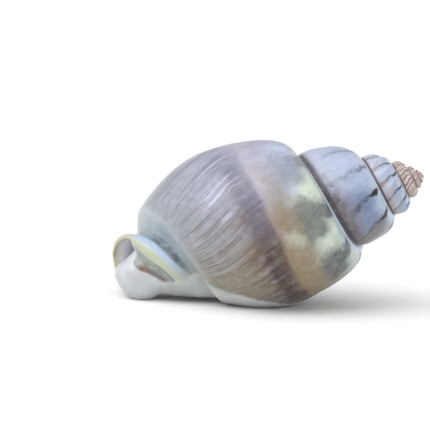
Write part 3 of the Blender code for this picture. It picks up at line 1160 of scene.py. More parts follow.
@dataclass(frozen=True)
class SharedEffects:
    """The effects that several finishes use, each a node group built once."""

    streaks: bpy.types.NodeTree
    mottling: bpy.types.NodeTree
    porcelain: bpy.types.NodeTree

    @classmethod
    def build(cls) -> "SharedEffects":
        """Builds the groups."""
        mottling = cls.mottling_group()
        return cls(cls.streaks_group(), mottling, cls.porcelain_group(mottling))

    def mottled(self, wiring: Wiring, scale: float) -> Socket:
        """Returns patches of this scale."""
        return wiring.group(self.mottling, Scale=scale).outputs[0]

    def streaked(self, wiring: Wiring, line: Socket, place: Socket, count: float, stretch: float) -> Socket:
        """Returns streaks, so many in a turn, that change along the profile as much as the stretch says."""
        node = wiring.group(self.streaks, Line=line, Place=place, Per_turn=count, Stretch=stretch)
        return node.outputs[0]

    @staticmethod
    def start(name: str, inputs: dict[str, float | str], output: str, kind: str) -> GroupParts:
        """Starts a group.

        Args:
            name: The group's name.
            inputs: Each input's name, with its number or its colour code.
            output: The output's name.
            kind: The output's socket type.

        Returns:
            The wiring of the group, its input node and its output node.
        """
        tree = bpy.data.node_groups.new(name, "ShaderNodeTree")
        for label, value in inputs.items():
            coloured = isinstance(value, str)
            given = COLOUR_SOCKET if coloured else NUMBER_SOCKET
            socket = tree.interface.new_socket(label, in_out="INPUT", socket_type=given)
            socket.default_value = linear(value) if coloured else value
        tree.interface.new_socket(output, in_out="OUTPUT", socket_type=kind)
        wiring = Wiring(tree)
        return wiring, wiring.node("NodeGroupInput"), wiring.node("NodeGroupOutput")

    @classmethod
    def streaks_group(cls) -> bpy.types.NodeTree:
        """Builds the fine streaks that follow the growth lines.

        Returns:
            The group.
        """
        inputs = {"Line": 0.0, "Place": 0.0, "Per turn": 100.0, "Stretch": 1.0}
        wiring, given, result = cls.start("growth streaks", inputs, "Streaks", NUMBER_SOCKET)
        across = wiring.math("MULTIPLY", given.outputs["Line"], given.outputs["Per turn"])
        along = wiring.math("MULTIPLY", given.outputs["Place"], given.outputs["Stretch"])
        noise = wiring.node("ShaderNodeTexNoise")
        for name, value in (("Scale", 1.0), ("Detail", 3.0), ("Roughness", 0.6)):
            wiring.feed(noise.inputs[name], value)
        wiring.feed(noise.inputs["Vector"], wiring.combine(across, along, given.outputs["Per turn"]))
        dark, pale = 0.3, 0.7
        wiring.feed(result.inputs["Streaks"], wiring.step(noise.outputs[0], dark, pale))
        return wiring.tree

    @classmethod
    def mottling_group(cls) -> bpy.types.NodeTree:
        """Builds the soft, uneven patches.

        Returns:
            The group.
        """
        wiring, given, result = cls.start("mottling", {"Scale": 300.0}, "Patches", NUMBER_SOCKET)
        noise = wiring.node("ShaderNodeTexNoise")
        wiring.feed(noise.inputs["Vector"], wiring.node("ShaderNodeTexCoord").outputs["Object"])
        wiring.feed(noise.inputs["Scale"], given.outputs["Scale"])
        wiring.feed(noise.inputs["Detail"], 4.0)
        wiring.feed(result.inputs["Patches"], noise.outputs[0])
        return wiring.tree

    @classmethod
    def porcelain_group(cls, mottling: bpy.types.NodeTree) -> bpy.types.NodeTree:
        """Builds the milky colour of the callus and of the lip's inner side.

        Args:
            mottling: The group of the uneven patches.

        Returns:
            The group.
        """
        inputs = {"Milky": "dfe2ea", "Clear": "b9c4c6"}
        wiring, given, result = cls.start("porcelain", inputs, "Color", COLOUR_SOCKET)
        patches = wiring.group(mottling, Scale=260.0).outputs[0]
        milky, clear = 0.38, 0.62
        share = wiring.step(patches, milky, clear)
        colour = wiring.mix(share, given.outputs["Milky"], given.outputs["Clear"])
        wiring.feed(result.inputs["Color"], colour)
        return wiring.tree


@dataclass(frozen=True)
class Gloss:
    """The numbers of a Principled surface that are the same all over it."""

    specular: float = 0.5
    coat: float = 0.0
    coat_roughness: float = 0.1

    def surface(self, name: str) -> tuple[bpy.types.Material, Wiring, bpy.types.Node]:
        """Starts a material.

        Args:
            name: The material's name.

        Returns:
            The material, the wiring of its tree and its Principled node.
        """
        material = bpy.data.materials.new(name)
        material.use_nodes = True
        shader = material.node_tree.nodes["Principled BSDF"]
        shader.inputs["Specular IOR Level"].default_value = self.specular
        shader.inputs["Coat Weight"].default_value = self.coat
        shader.inputs["Coat Roughness"].default_value = self.coat_roughness
        return material, Wiring(material.node_tree), shader


@dataclass(frozen=True)
class Fade:
    """A mask squeezed to run from low to high, with the span that cuts it from a value if it has one."""

    low: float
    high: float = 1.0
    span: Span = ()


@dataclass(frozen=True)
class Mark:
    """One marking: its colour, how much it covers, and the growth lines and places it spans.

    The hollow is the mark's middle, half its width and its soft edge, counted in folds from the
    nearest hollow between two folds.
    """

    colour: str
    cover: float = 1.0
    lines: Span = ()
    places: Span = ()
    hollow: Span = ()


@dataclass(frozen=True)
class Canvas:
    """What the layers of the outside's colour read."""

    wiring: Wiring
    line: Socket
    place: Socket
    uneven: Socket
    rough: Socket
    fine: Socket
    coarse: Socket
    fold: Socket

    def within(self, value: Socket, span: Span) -> Socket:
        """Makes the mask that a span describes.

        Args:
            value: What it reads.
            span: The span.

        Returns:
            The mask: a step for a span of two numbers, a window for four.
        """
        if len(span) == 2:
            return self.wiring.step(value, *span)
        return self.times(self.wiring.step(value, *span[:2]), self.wiring.step(value, span[3], span[2]))

    def on_lines(self, span: Span) -> Socket:
        """Returns the mask of a span of growth lines."""
        return self.within(self.line, span)

    def near(self, value: Socket, middle: float, half: float, soft: float) -> Socket:
        """Returns 1 within half of the middle, fading to 0 over the soft stretch beyond it."""
        away = self.wiring.math("ABSOLUTE", self.wiring.math("SUBTRACT", value, middle))
        return self.wiring.step(away, half + soft, half)

    def times(self, *values: Value) -> Value:
        """Returns the product of masks."""
        return functools.reduce(lambda first, second: self.wiring.math("MULTIPLY", first, second), values)

    def most(self, *values: Value) -> Value:
        """Returns the greatest of masks."""
        return functools.reduce(lambda first, second: self.wiring.math("MAXIMUM", first, second), values)

    def shifted(self, value: Socket, by: Socket, amount: float) -> Socket:
        """Returns a coordinate moved unevenly."""
        return self.wiring.math("MULTIPLY_ADD", by, amount, value)

    def faded(self, value: Socket, fade: Fade) -> Socket:
        """Returns a fade's mask. A fade with no span squeezes the value itself."""
        mask = self.within(value, fade.span) if fade.span else value
        return self.wiring.math("MULTIPLY_ADD", mask, fade.high - fade.low, fade.low)

    def share(self, mark: Mark, *masks: Value) -> Value:
        """Finds how much of a mark shows.

        Args:
            mark: The mark.
            masks: More masks that it lies under.

        Returns:
            The share, 0 to 1.
        """
        parts = [mark.cover, *masks]
        parts += [self.on_lines(mark.lines)] if mark.lines else []
        parts += [self.within(self.place, mark.places)] if mark.places else []
        parts += [self.near(self.fold, *mark.hollow)] if mark.hollow else []
        return self.times(*parts)

    def age(self, colour: Socket, lines: Span, stops: Ramp) -> Socket:
        """Returns the colour with the bands of an older stretch of the shell laid over it."""
        return self.wiring.mix(self.on_lines(lines), colour, self.wiring.ramp(self.place, stops))

    def lay(self, colour: Socket, mark: Mark, *masks: Value) -> Socket:
        """Returns the colour with a mark laid over it."""
        return self.wiring.mix(self.share(mark, *masks), colour, linear(mark.colour))


@dataclass(frozen=True)
class Ground:
    """The soft spiral bands of the five ages of the shell. On the last whorl the later copy of the bands is
    painted lighter and sky-lilac as painted light where the whorl faces up, and the earlier copy darker and
    warm as painted shade where it faces down. The lilac marks paint the same light on the older whorls.
    """

    # The earlier copy carries painted shade: darker and warm, for the side of the last whorl that faces
    # down.
    earlier_and_shaded: Ramp = (
        (0.0, "b9cbdc"), (0.12, "bccbcd"), (0.38, "a9b3a8"), (0.52, "8f948c"), (0.63, "8b826c"),
        (0.82, "8a775a"), (1.0, "7c6a5c"), (1.3, "887e6e"), (1.9, "7f7868"), (2.1, "a4a8a4"),
        (2.8, "9ea297"),
    )
    # The later copy carries painted light: lighter and sky-lilac, for the side of the last whorl that faces
    # up.
    later: Ramp = (
        (0.0, "c4c9d6"), (0.3, "b4b4c2"), (0.5, "a0a3bd"), (0.62, "9799b2"), (0.8, "aba8b8"),
        (0.95, "8d90a8"), (1.3, "9698ab"), (1.75, "91949f"), (1.95, "8d929b"), (2.1, "a0a9b0"),
        (2.7, "929da6"),
    )
    middle: Ramp = (
        (0.0, "b4b9c3"), (0.12, "bfcedd"), (0.3, "adbdd2"), (0.52, "7386aa"), (0.7, "75819b"),
        (0.85, "7c7982"),
    )
    old: Ramp = ((0.0, "b0acb6"), (0.25, "bccadf"), (0.5, "9dadc8"), (0.75, "a5a6b0"), (1.0, "97898a"))
    oldest: Ramp = ((0.0, "c2aeaa"), (0.4, "c6b8b8"), (1.0, "b09b90"))
    later_and_lit_from: Span = (-0.52, -0.3)
    middle_from: Span = (-0.85, -1.15)
    old_from: Span = (-1.85, -2.2)
    oldest_from: Span = (-2.75, -3.15)
    pale_shoulder: Mark = Mark("cdd8c8", lines=(-0.64, -0.58, -0.38, -0.3), places=(0.7, 0.42))
    on_folds: Fade = Fade(0.25, 0.95, (0.2, 0.42))
    taupe_side: Mark = Mark("827b77", 0.75, lines=(-1.56, -1.66), places=(0.2, 0.4))
    # Painted sky-lilac light where the older whorls face up, over their own colour.
    lilac_side: Mark = Mark("b7c0d9", 0.75, lines=(-1.5, -1.38, -1.2, -1.05), places=(0.98, 0.86))
    lilac_whorl: Mark = Mark("b7c0d9", 0.6, lines=(-2.5, -2.38, -2.2, -2.05))
    place_wander: float = 0.14
    line_wander: float = 0.2

    def paint(self, canvas: Canvas) -> Socket:
        """Paints the ground.

        Args:
            canvas: What the layers read.

        Returns:
            Its colour.
        """
        wiring = canvas.wiring
        whole = float(Place.TIP)
        place = wiring.math("MAXIMUM", canvas.shifted(canvas.place, canvas.uneven, self.place_wander), 0.0)
        line = canvas.shifted(canvas.line, canvas.uneven, self.line_wander)
        moved = replace(canvas, line=line)
        # The two copies of the bands are painted shade and painted light, chosen by growth line.
        first, second = (wiring.ramp(place, stops, whole) for stops in (self.earlier_and_shaded, self.later))
        colour = wiring.mix(canvas.within(line, self.later_and_lit_from), first, second)
        on_fold = canvas.faded(wiring.math("ABSOLUTE", canvas.fold), self.on_folds)
        colour = replace(moved, place=place).lay(colour, self.pale_shoulder, on_fold)
        colour = moved.age(colour, self.middle_from, self.middle)
        colour = moved.lay(moved.lay(colour, self.taupe_side), self.lilac_side)
        colour = moved.age(colour, self.old_from, self.old)
        colour = moved.lay(colour, self.lilac_whorl)
        return moved.age(colour, self.oldest_from, self.oldest)


@dataclass(frozen=True)
class ShoulderBlotches:
    """The broad dark blotches in the last whorl's shoulder hollows, the pale patches beside them, and a
    painted sky-lilac light where the shoulder faces up.
    """

    core: Mark = Mark("3f464b", places=(0.0, 0.16, 0.46, 0.62), hollow=(0.03, 0.1, 0.14))
    spread: Mark = Mark("3f464b", 0.85, places=(0.3, 0.44, 0.58, 0.7), hollow=(-0.08, 0.26, 0.2))
    patches: Mark = Mark("cdd8c8", 0.35, places=(0.42, 0.55, 0.76, 0.84))
    patch_edges: Span = (0.0, 0.16)
    # Painted light: a lilac tint of the sky where the shoulder faces up.
    painted_sky_light: Mark = Mark("b7c0d9", 0.7, lines=(-0.46, -0.4, -0.3, -0.24), places=(0.3, 0.42, 0.56, 0.7))
    whorl: Span = (-1.1, -0.85, -0.42, -0.2)
    age: Fade = Fade(0.62, span=(-0.45, -0.58))
    grain: Fade = Fade(0.72)

    def paint(self, canvas: Canvas, colour: Socket) -> Socket:
        """Lays the blotches and the patches over a colour.

        Args:
            canvas: What the layers read.
            colour: The colour under it.

        Returns:
            The new colour.
        """
        whorl = canvas.on_lines(self.whorl)
        colour = canvas.lay(colour, self.patches, canvas.within(canvas.uneven, self.patch_edges), whorl)
        # Lays the painted sky light.
        colour = canvas.lay(colour, self.painted_sky_light)
        share = canvas.most(canvas.share(self.core), canvas.share(self.spread))
        age, grain = canvas.faded(canvas.line, self.age), canvas.faded(canvas.fine, self.grain)
        return canvas.wiring.mix(canvas.times(share, whorl, age, grain), colour, linear(self.core.colour))


@dataclass(frozen=True)
class PeripheryBand:
    """The dark broken band at the periphery, brown and then purple, with its brown tails."""

    brown: Mark = Mark("2b1610", lines=(-1.05, -0.85, -0.52, -0.36), places=(0.83, 0.88, 0.96, 1.12))
    purple: Mark = Mark("484866", 0.8, lines=(-0.5, -0.4, -0.38, -0.22), places=(0.83, 0.88, 0.96, 1.12))
    tails: Mark = Mark("2b1610", 0.65, places=(0.9, 0.98, 1.1, 1.6))
    purple_tails: float = 0.5
    tail_edges: Span = (0.4, 0.8)
    tail_grain: Fade = Fade(0.4)
    breaks: Fade = Fade(0.65, span=(-0.12, 0.1))
    streaks: Fade = Fade(0.65, span=(0.25, 0.6))
    grain: Fade = Fade(0.8)
    wander: tuple[float, float] = (0.08, 0.07)

    def paint(self, canvas: Canvas, colour: Socket) -> Socket:
        """Lays the band and its tails over a colour.

        Args:
            canvas: What the layers read.
            colour: The colour under it.

        Returns:
            The new colour.
        """
        place = canvas.shifted(canvas.place, canvas.uneven, self.wander[0])
        moved = replace(canvas, place=canvas.shifted(place, canvas.rough, self.wander[1]))
        broken = canvas.times(
            canvas.faded(canvas.uneven, self.breaks),
            canvas.faded(canvas.coarse, self.streaks),
            canvas.faded(canvas.fine, self.grain),
        )
        colour = moved.lay(moved.lay(colour, self.brown, broken), self.purple, broken)
        brown, purple = (canvas.on_lines(mark.lines) for mark in (self.brown, self.purple))
        reach = canvas.most(brown, canvas.times(purple, self.purple_tails))
        grain = canvas.faded(canvas.fine, self.tail_grain)
        return canvas.lay(colour, self.tails, canvas.within(canvas.coarse, self.tail_edges), grain, reach)


@dataclass(frozen=True)
class SpireMarks:
    """The thin dark stroke in each hollow of the spire, its foot's specks, the pale line on the cord below
    the suture and a painted shadow along the suture.
    """

    core: Mark = Mark("22232b", places=(0.06, 0.16, 0.42, 0.56), hollow=(0.0, 0.05, 0.07))
    thread: Mark = Mark("22232b", 0.8, places=(0.3, 0.42, 0.68, 0.85), hollow=(0.02, 0.04, 0.07))
    haze: Mark = Mark("22232b", 0.2, places=(0.2, 0.4, 0.6, 0.8), hollow=(-0.05, 0.1, 0.25))
    whorls: Span = (-3.2, -2.7, -1.1, -0.9)
    age: Fade = Fade(0.5, span=(-1.38, -1.52))
    ragged: Fade = Fade(0.55, span=(-0.16, 0.04))
    foot: Mark = Mark("4a3b3c", lines=(-1.95, -1.75, -1.42, -1.3), places=(0.74, 0.9, 1.05, 1.1))
    foot_wander: float = 0.3
    foot_streaks: Fade = Fade(0.5)
    foot_spots: Fade = Fade(0.5, span=(-0.1, 0.12))
    rust: Mark = Mark(
        "765647",
        0.65,
        lines=(-3.2, -2.7, -2.2, -1.9),
        places=(0.7, 0.86, 0.98, 1.01),
        hollow=(0.02, 0.06, 0.12),
    )
    early_lines: Mark = Mark("4a3b3c", 0.85, lines=(-2.75, -3.1), places=(0.02, 0.2, 0.85, 1.0))
    early_spacing: float = 0.25
    early_width: tuple[float, float] = (0.03, 0.07)
    # A painted shadow in the crease of the suture, on the older whorl just above it.
    suture: Mark = Mark("2c2930", 0.9, lines=(-0.9, -1.0), places=(0.9, 0.95))
    rim: Mark = Mark("c3d4ea", 0.75, lines=(-2.4, -1.9))
    rim_place: tuple[float, float, float] = (0.03, 0.05, 0.07)

    def paint(self, canvas: Canvas, colour: Socket) -> Socket:
        """Lays the spire's marks over a colour.

        Args:
            canvas: What the layers read.
            colour: The colour under it.

        Returns:
            The new colour.
        """
        thread = canvas.share(self.thread, canvas.faded(canvas.rough, self.ragged))
        share = canvas.most(canvas.share(self.core), thread, canvas.share(self.haze))
        age = canvas.faded(canvas.line, self.age)
        share = canvas.times(share, canvas.on_lines(self.whorls), age)
        colour = canvas.wiring.mix(share, colour, linear(self.core.colour))

        moved = replace(canvas, place=canvas.shifted(canvas.place, canvas.rough, self.foot_wander))
        streaks = canvas.faded(canvas.coarse, self.foot_streaks)
        colour = moved.lay(colour, self.foot, streaks, canvas.faded(canvas.rough, self.foot_spots))
        colour = canvas.lay(colour, self.rust)
        apart = canvas.wiring.math("PINGPONG", canvas.fold, self.early_spacing)
        colour = canvas.lay(colour, self.early_lines, canvas.near(apart, 0.0, *self.early_width))
        # Lays the painted suture shadow.
        colour = canvas.lay(colour, self.suture)
        return canvas.lay(colour, self.rim, canvas.near(canvas.place, *self.rim_place))


@dataclass(frozen=True)
class GrowthStreaks:
    """Dark and pale growth streaks, small pale specks and a faint mottle."""

    effects: SharedEffects
    broad: Mark = Mark("45382f", 0.25)
    broad_edges: Span = (0.6, 0.25)
    dark: Mark = Mark("45382f")
    dark_edges: Span = (0.45, 0.1)
    dark_groups: Fade = Fade(1.0, 0.3)
    warm: Fade = Fade(0.45, 0.8, (-0.34, -0.46))
    side: Span = (0.8, 1.1, 1.75, 2.0)
    shoulder: Fade = Fade(0.0, 0.12, (0.1, 0.4, 0.8, 1.0))
    body: Span = (-1.1, -0.9)
    pale: Mark = Mark("d3d5ea")
    pale_lines: tuple[float, float] = (120.0, 0.4)
    patch_scales: tuple[float, float] = (300.0, 3500.0)
    pale_edges: Span = (0.62, 0.95)
    pale_breaks: Span = (0.38, 0.6)
    late: Fade = Fade(0.15, 0.5, (-0.5, -0.34))
    waver: float = 0.02
    specks: Mark = Mark("dcdde2", 0.4)
    speck_edges: Span = (0.69, 0.77)
    light_mottle: Mark = Mark("dcdde2", 0.08, places=(3.4, 2.8))
    light_edges: Span = (0.02, 0.2)
    dark_mottle: Mark = Mark("45382f", 0.1, places=(3.4, 2.8))
    dark_mottle_edges: Span = (0.0, -0.2)

    def paint(self, canvas: Canvas, colour: Socket) -> Socket:
        """Lays the streaks, the specks and the mottle over a colour.

        Args:
            canvas: What the layers read.
            colour: The colour under it.

        Returns:
            The new colour.
        """
        side, body = canvas.within(canvas.place, self.side), canvas.on_lines(self.body)
        strength = canvas.most(side, canvas.faded(canvas.place, self.shoulder))
        broad = canvas.within(canvas.coarse, self.broad_edges)
        colour = canvas.lay(colour, self.broad, broad, strength, body)
        dark = canvas.within(canvas.fine, self.dark_edges)
        groups, warm = canvas.faded(canvas.coarse, self.dark_groups), canvas.faded(canvas.line, self.warm)
        colour = canvas.lay(colour, self.dark, dark, groups, strength, warm)

        wavy = canvas.shifted(canvas.line, canvas.uneven, self.waver)
        lines = self.effects.streaked(canvas.wiring, wavy, canvas.place, *self.pale_lines)
        broken, specks = (self.effects.mottled(canvas.wiring, scale) for scale in self.patch_scales)
        pale = canvas.within(lines, self.pale_edges)
        broken, late = canvas.within(broken, self.pale_breaks), canvas.faded(canvas.line, self.late)
        colour = canvas.lay(colour, self.pale, pale, broken, side, late, body)
        colour = canvas.lay(colour, self.specks, canvas.within(specks, self.speck_edges))
        colour = canvas.lay(colour, self.light_mottle, canvas.within(canvas.rough, self.light_edges))
        return canvas.lay(colour, self.dark_mottle, canvas.within(canvas.rough, self.dark_mottle_edges))


@dataclass(frozen=True)
class AnteriorBands:
    """The dark groove, its colour partly its own and partly painted shade in the incision, the blue band,
    the cream ridge, the grey furrow and the olive margin.
    """

    blue: Mark = Mark("adbfd8", places=(3.35, 3.55, 3.8, 4.0))
    cream: Mark = Mark("b3b8a0", places=(3.75, 3.95))
    cream_ends: Span = (4.55, 4.35)
    furrow: Mark = Mark("8f9491", places=(4.35, 4.55))
    grains: Mark = Mark("6a6f6e", 0.6, lines=(-0.24, -0.3), places=(4.45, 4.6))
    grain_edges: Span = (0.0, 0.12)
    thin_line: Mark = Mark("6a6f6e", 0.75, lines=(-0.46, -0.42, -0.32, -0.24))
    thin_place: tuple[float, float, float] = (4.42, 0.03, 0.07)
    # The groove's dark colour is partly the shell's own and partly painted shade in the incised groove.
    groove: Mark = Mark("4b5961", lines=(-0.5, -0.36, -0.28, -0.16), places=(2.85, 3.1, 3.35, 3.55))
    spots: Fade = Fade(0.6, span=(-0.12, 0.1))
    margin: Mark = Mark("77724a", 0.8, places=(1.95, 2.5, 3.0, 3.5))
    margin_from: Span = (-0.16, 0.0)
    margin_wander: tuple[float, float] = (0.15, 0.06)
    late: Span = (-0.42, -0.32)
    late_blue: Fade = Fade(0.1, 0.95)
    late_cream: Fade = Fade(0.55)
    widening: Span = (-0.36, -0.26)
    widened: float = -0.3
    wander: tuple[float, float] = (0.1, 0.12)

    def paint(self, canvas: Canvas, colour: Socket) -> Socket:
        """Lays the bands of the anterior end over a colour.

        Args:
            canvas: What the layers read.
            colour: The colour under it.

        Returns:
            The new colour.
        """
        place = canvas.shifted(canvas.place, canvas.uneven, self.wander[0])
        place = canvas.shifted(place, canvas.rough, self.wander[1])
        wider = canvas.on_lines(self.widening)
        upper = replace(canvas, place=place)
        lower = replace(canvas, place=canvas.shifted(place, wider, self.widened))
        late = canvas.on_lines(self.late)
        colour = upper.lay(colour, self.blue, canvas.faded(late, self.late_blue))
        ends = canvas.within(lower.place, self.cream_ends)
        colour = upper.lay(colour, self.cream, ends, canvas.faded(late, self.late_cream))
        colour = lower.lay(colour, self.furrow)
        colour = lower.lay(colour, self.grains, canvas.within(canvas.rough, self.grain_edges))
        colour = canvas.lay(colour, self.thin_line, canvas.near(lower.place, *self.thin_place))
        # Lays the groove's colour with its painted shade.
        colour = upper.lay(colour, self.groove, canvas.faded(canvas.rough, self.spots))
        line = canvas.shifted(canvas.line, canvas.uneven, self.margin_wander[0])
        line = canvas.shifted(line, canvas.coarse, self.margin_wander[1])
        return upper.lay(colour, self.margin, canvas.within(line, self.margin_from))


@dataclass(frozen=True)
class CallusGlaze:
    """The callus, clear over the whorl and milky at the lobe, with a brown streak along the lobe's edge.
    The band over the whorl is darkened as painted shade where it lies on the underside.
    """

    effects: SharedEffects
    # The band's greys are partly the clear callus and partly painted shade of the underside.
    band: tuple[str, str] = ("b9bdbb", "a3a8a6")
    lobe: tuple[str, str] = ("bec3ca", "acacab")
    lobe_from: Span = (4.8, 6.6)
    ragged: float = 0.5
    edge: Span = (-0.12, 0.25)
    streak: Mark = Mark("6a4629", lines=(-0.24, -0.28), places=(4.5, 4.9, 6.5, 6.6))
    streak_end: Mark = Mark("5f4f49", lines=(-0.29, -0.34))
    streak_width: Span = (-0.9, -0.3, 0.0, 0.25)
    streak_grain: Fade = Fade(0.6, 0.9)

    def paint(self, canvas: Canvas, colour: Socket) -> tuple[Socket, Socket]:
        """Lays the streak at the lobe and the glaze over a colour.

        Args:
            canvas: What the layers read.
            colour: The colour under it.

        Returns:
            The new colour, and the mask of the glaze.
        """
        wiring = canvas.wiring
        inside = wiring.node("ShaderNodeAttribute", attribute_name=CALLUS_VALUES).outputs["Fac"]
        ragged = canvas.shifted(inside, canvas.uneven, self.ragged)
        share = canvas.share(self.streak, canvas.within(ragged, self.streak_width))
        share = canvas.times(share, canvas.faded(canvas.fine, self.streak_grain))
        brown = canvas.lay(linear(self.streak.colour), self.streak_end)
        colour = wiring.mix(share, colour, brown)
        band, lobe = (
            wiring.group(self.effects.porcelain, Milky=linear(milky), Clear=linear(clear)).outputs[0]
            for milky, clear in (self.band, self.lobe)
        )
        covered = canvas.within(ragged, self.edge)
        glaze = wiring.mix(canvas.within(canvas.place, self.lobe_from), band, lobe)
        return wiring.mix(covered, colour, glaze), covered


@dataclass(frozen=True)
class OutsideFinish:
    """The banded, blotched and streaked outside, and the callus that spreads over it."""

    effects: SharedEffects
    map_name: str
    relief: Relief
    gloss: Gloss = Gloss(coat=0.3, coat_roughness=0.16)
    roughness: Fade = Fade(0.24, 0.38)
    bare_side: Span = (2.4, 1.7)
    patch_scales: tuple[float, float] = (450.0, 1600.0)
    streaks: tuple[Span, Span] = ((210.0, 0.6), (60.0, 0.5))
    bump_strength: float = 0.45
    bump_height: float = 0.03 * MM
    bump_shoulder: Fade = Fade(0.35, span=(0.5, 1.0))
    fine_share: float = 0.5
    leaning_place: float = 0.55
    spire_lean: float = 0.07
    body_lean: float = 0.06
    body_from: Span = (-1.1, -0.9)
    fold_wander: tuple[float, float] = (0.25, 0.3)

    def material(self) -> bpy.types.Material:
        """Makes the material.

        Returns:
            The finished material.
        """
        material, wiring, shader = self.gloss.surface("banded_shell")
        canvas = self.canvas(wiring)
        colour = Ground().paint(canvas)
        streaks = GrowthStreaks(self.effects)
        for layer in (ShoulderBlotches(), PeripheryBand(), SpireMarks(), streaks, AnteriorBands()):
            colour = layer.paint(canvas, colour)
        colour, covered = CallusGlaze(self.effects).paint(canvas, colour)
        wiring.feed(shader.inputs["Base Color"], colour)

        bare = canvas.within(canvas.place, self.bare_side)
        bare = canvas.times(wiring.math("SUBTRACT", 1.0, covered), bare)
        roughness = canvas.faded(canvas.times(canvas.fine, bare), self.roughness)
        wiring.feed(shader.inputs["Roughness"], roughness)
        bump = wiring.node("ShaderNodeBump")
        bump.inputs["Strength"].default_value = self.bump_strength
        bump.inputs["Distance"].default_value = self.bump_height
        lines = canvas.times(bare, canvas.faded(canvas.place, self.bump_shoulder))
        height = canvas.shifted(canvas.coarse, canvas.fine, self.fine_share)
        wiring.feed(bump.inputs["Height"], canvas.times(height, lines))
        wiring.feed(shader.inputs["Normal"], bump.outputs[0])
        return material

    def canvas(self, wiring: Wiring) -> Canvas:
        """Adds what the colour's layers read: the map, the patches, the streaks and the folds.

        Args:
            wiring: The wiring of the material's tree.

        Returns:
            The canvas.
        """
        coordinates = wiring.node("ShaderNodeSeparateXYZ")
        wiring.feed(coordinates.inputs[0], wiring.node("ShaderNodeUVMap", uv_map=self.map_name).outputs[0])
        line, place = coordinates.outputs[0], coordinates.outputs[1]
        uneven, rough = (
            wiring.math("SUBTRACT", self.effects.mottled(wiring, scale), 0.5) for scale in self.patch_scales
        )
        fine, coarse = (self.effects.streaked(wiring, line, place, *streaks) for streaks in self.streaks)

        # The marks in the hollows lean near the suture.
        lean = wiring.math("MAXIMUM", wiring.math("SUBTRACT", self.leaning_place, place), 0.0)
        body = wiring.step(line, *self.body_from)
        slant = wiring.math("MULTIPLY_ADD", body, self.body_lean, self.spire_lean)
        leaning = wiring.math("MULTIPLY_ADD", lean, slant, line)
        from_even = wiring.math("SUBTRACT", leaning, self.relief.ribs_even_to)
        later = wiring.math("MAXIMUM", from_even, 0.0)
        wider = wiring.math("MULTIPLY", wiring.math("MULTIPLY", later, later), -self.relief.ribs_spread)
        folds = wiring.math("MULTIPLY_ADD", from_even, self.relief.ribs_per_turn, wider)
        for patches, amount in zip((uneven, rough), self.fold_wander):
            folds = wiring.math("MULTIPLY_ADD", patches, amount, folds)
        fold = wiring.math("SUBTRACT", folds, wiring.math("ROUND", folds))
        return Canvas(wiring, line, place, uneven, rough, fine, coarse, fold)


@dataclass(frozen=True)
class LiningFinish:
    """The glazed inside, pale at the lip and dark far in, where its purple-brown colour is darkened as
    painted shade.
    """

    effects: SharedEffects
    gloss: Gloss = Gloss(coat=0.5, coat_roughness=0.08)
    # The lining's own colours, darkened far into the aperture as painted shade.
    colour_and_shade_by_depth: Ramp = (
        (0.0, "aca27a"), (0.35, "b8b092"), (0.8, "c9c6d2"), (2.5, "b2aabd"), (5.0, "84728a"),
        (9.0, "54424f"), (14.0, "43323b"),
    )
    ramp_span: float = 16.0
    patch_scale: float = 500.0
    patch_wander: float = 0.5
    milky_share: float = 0.2
    roughness: tuple[float, float] = (0.14, 0.24)

    def material(self) -> bpy.types.Material:
        """Makes the material.

        Returns:
            The finished material.
        """
        material, wiring, shader = self.gloss.surface("glazed_lining")
        lip = wiring.node("ShaderNodeAttribute", attribute_name=LIP_VALUES).outputs["Fac"]
        patches = self.effects.mottled(wiring, self.patch_scale)
        uneven = wiring.math("SUBTRACT", patches, 0.5)
        uneven = wiring.math("MULTIPLY_ADD", uneven, self.patch_wander, lip)
        milky = wiring.group(self.effects.porcelain).outputs[0]
        # Painted shade: the colour darkens with distance from the lip.
        deep_and_shaded = wiring.ramp(uneven, self.colour_and_shade_by_depth, self.ramp_span)
        wiring.feed(shader.inputs["Base Color"], wiring.mix(self.milky_share, deep_and_shaded, milky))
        smooth, rough = self.roughness
        roughness = wiring.math("MULTIPLY_ADD", patches, rough - smooth, smooth)
        wiring.feed(shader.inputs["Roughness"], roughness)
        return material


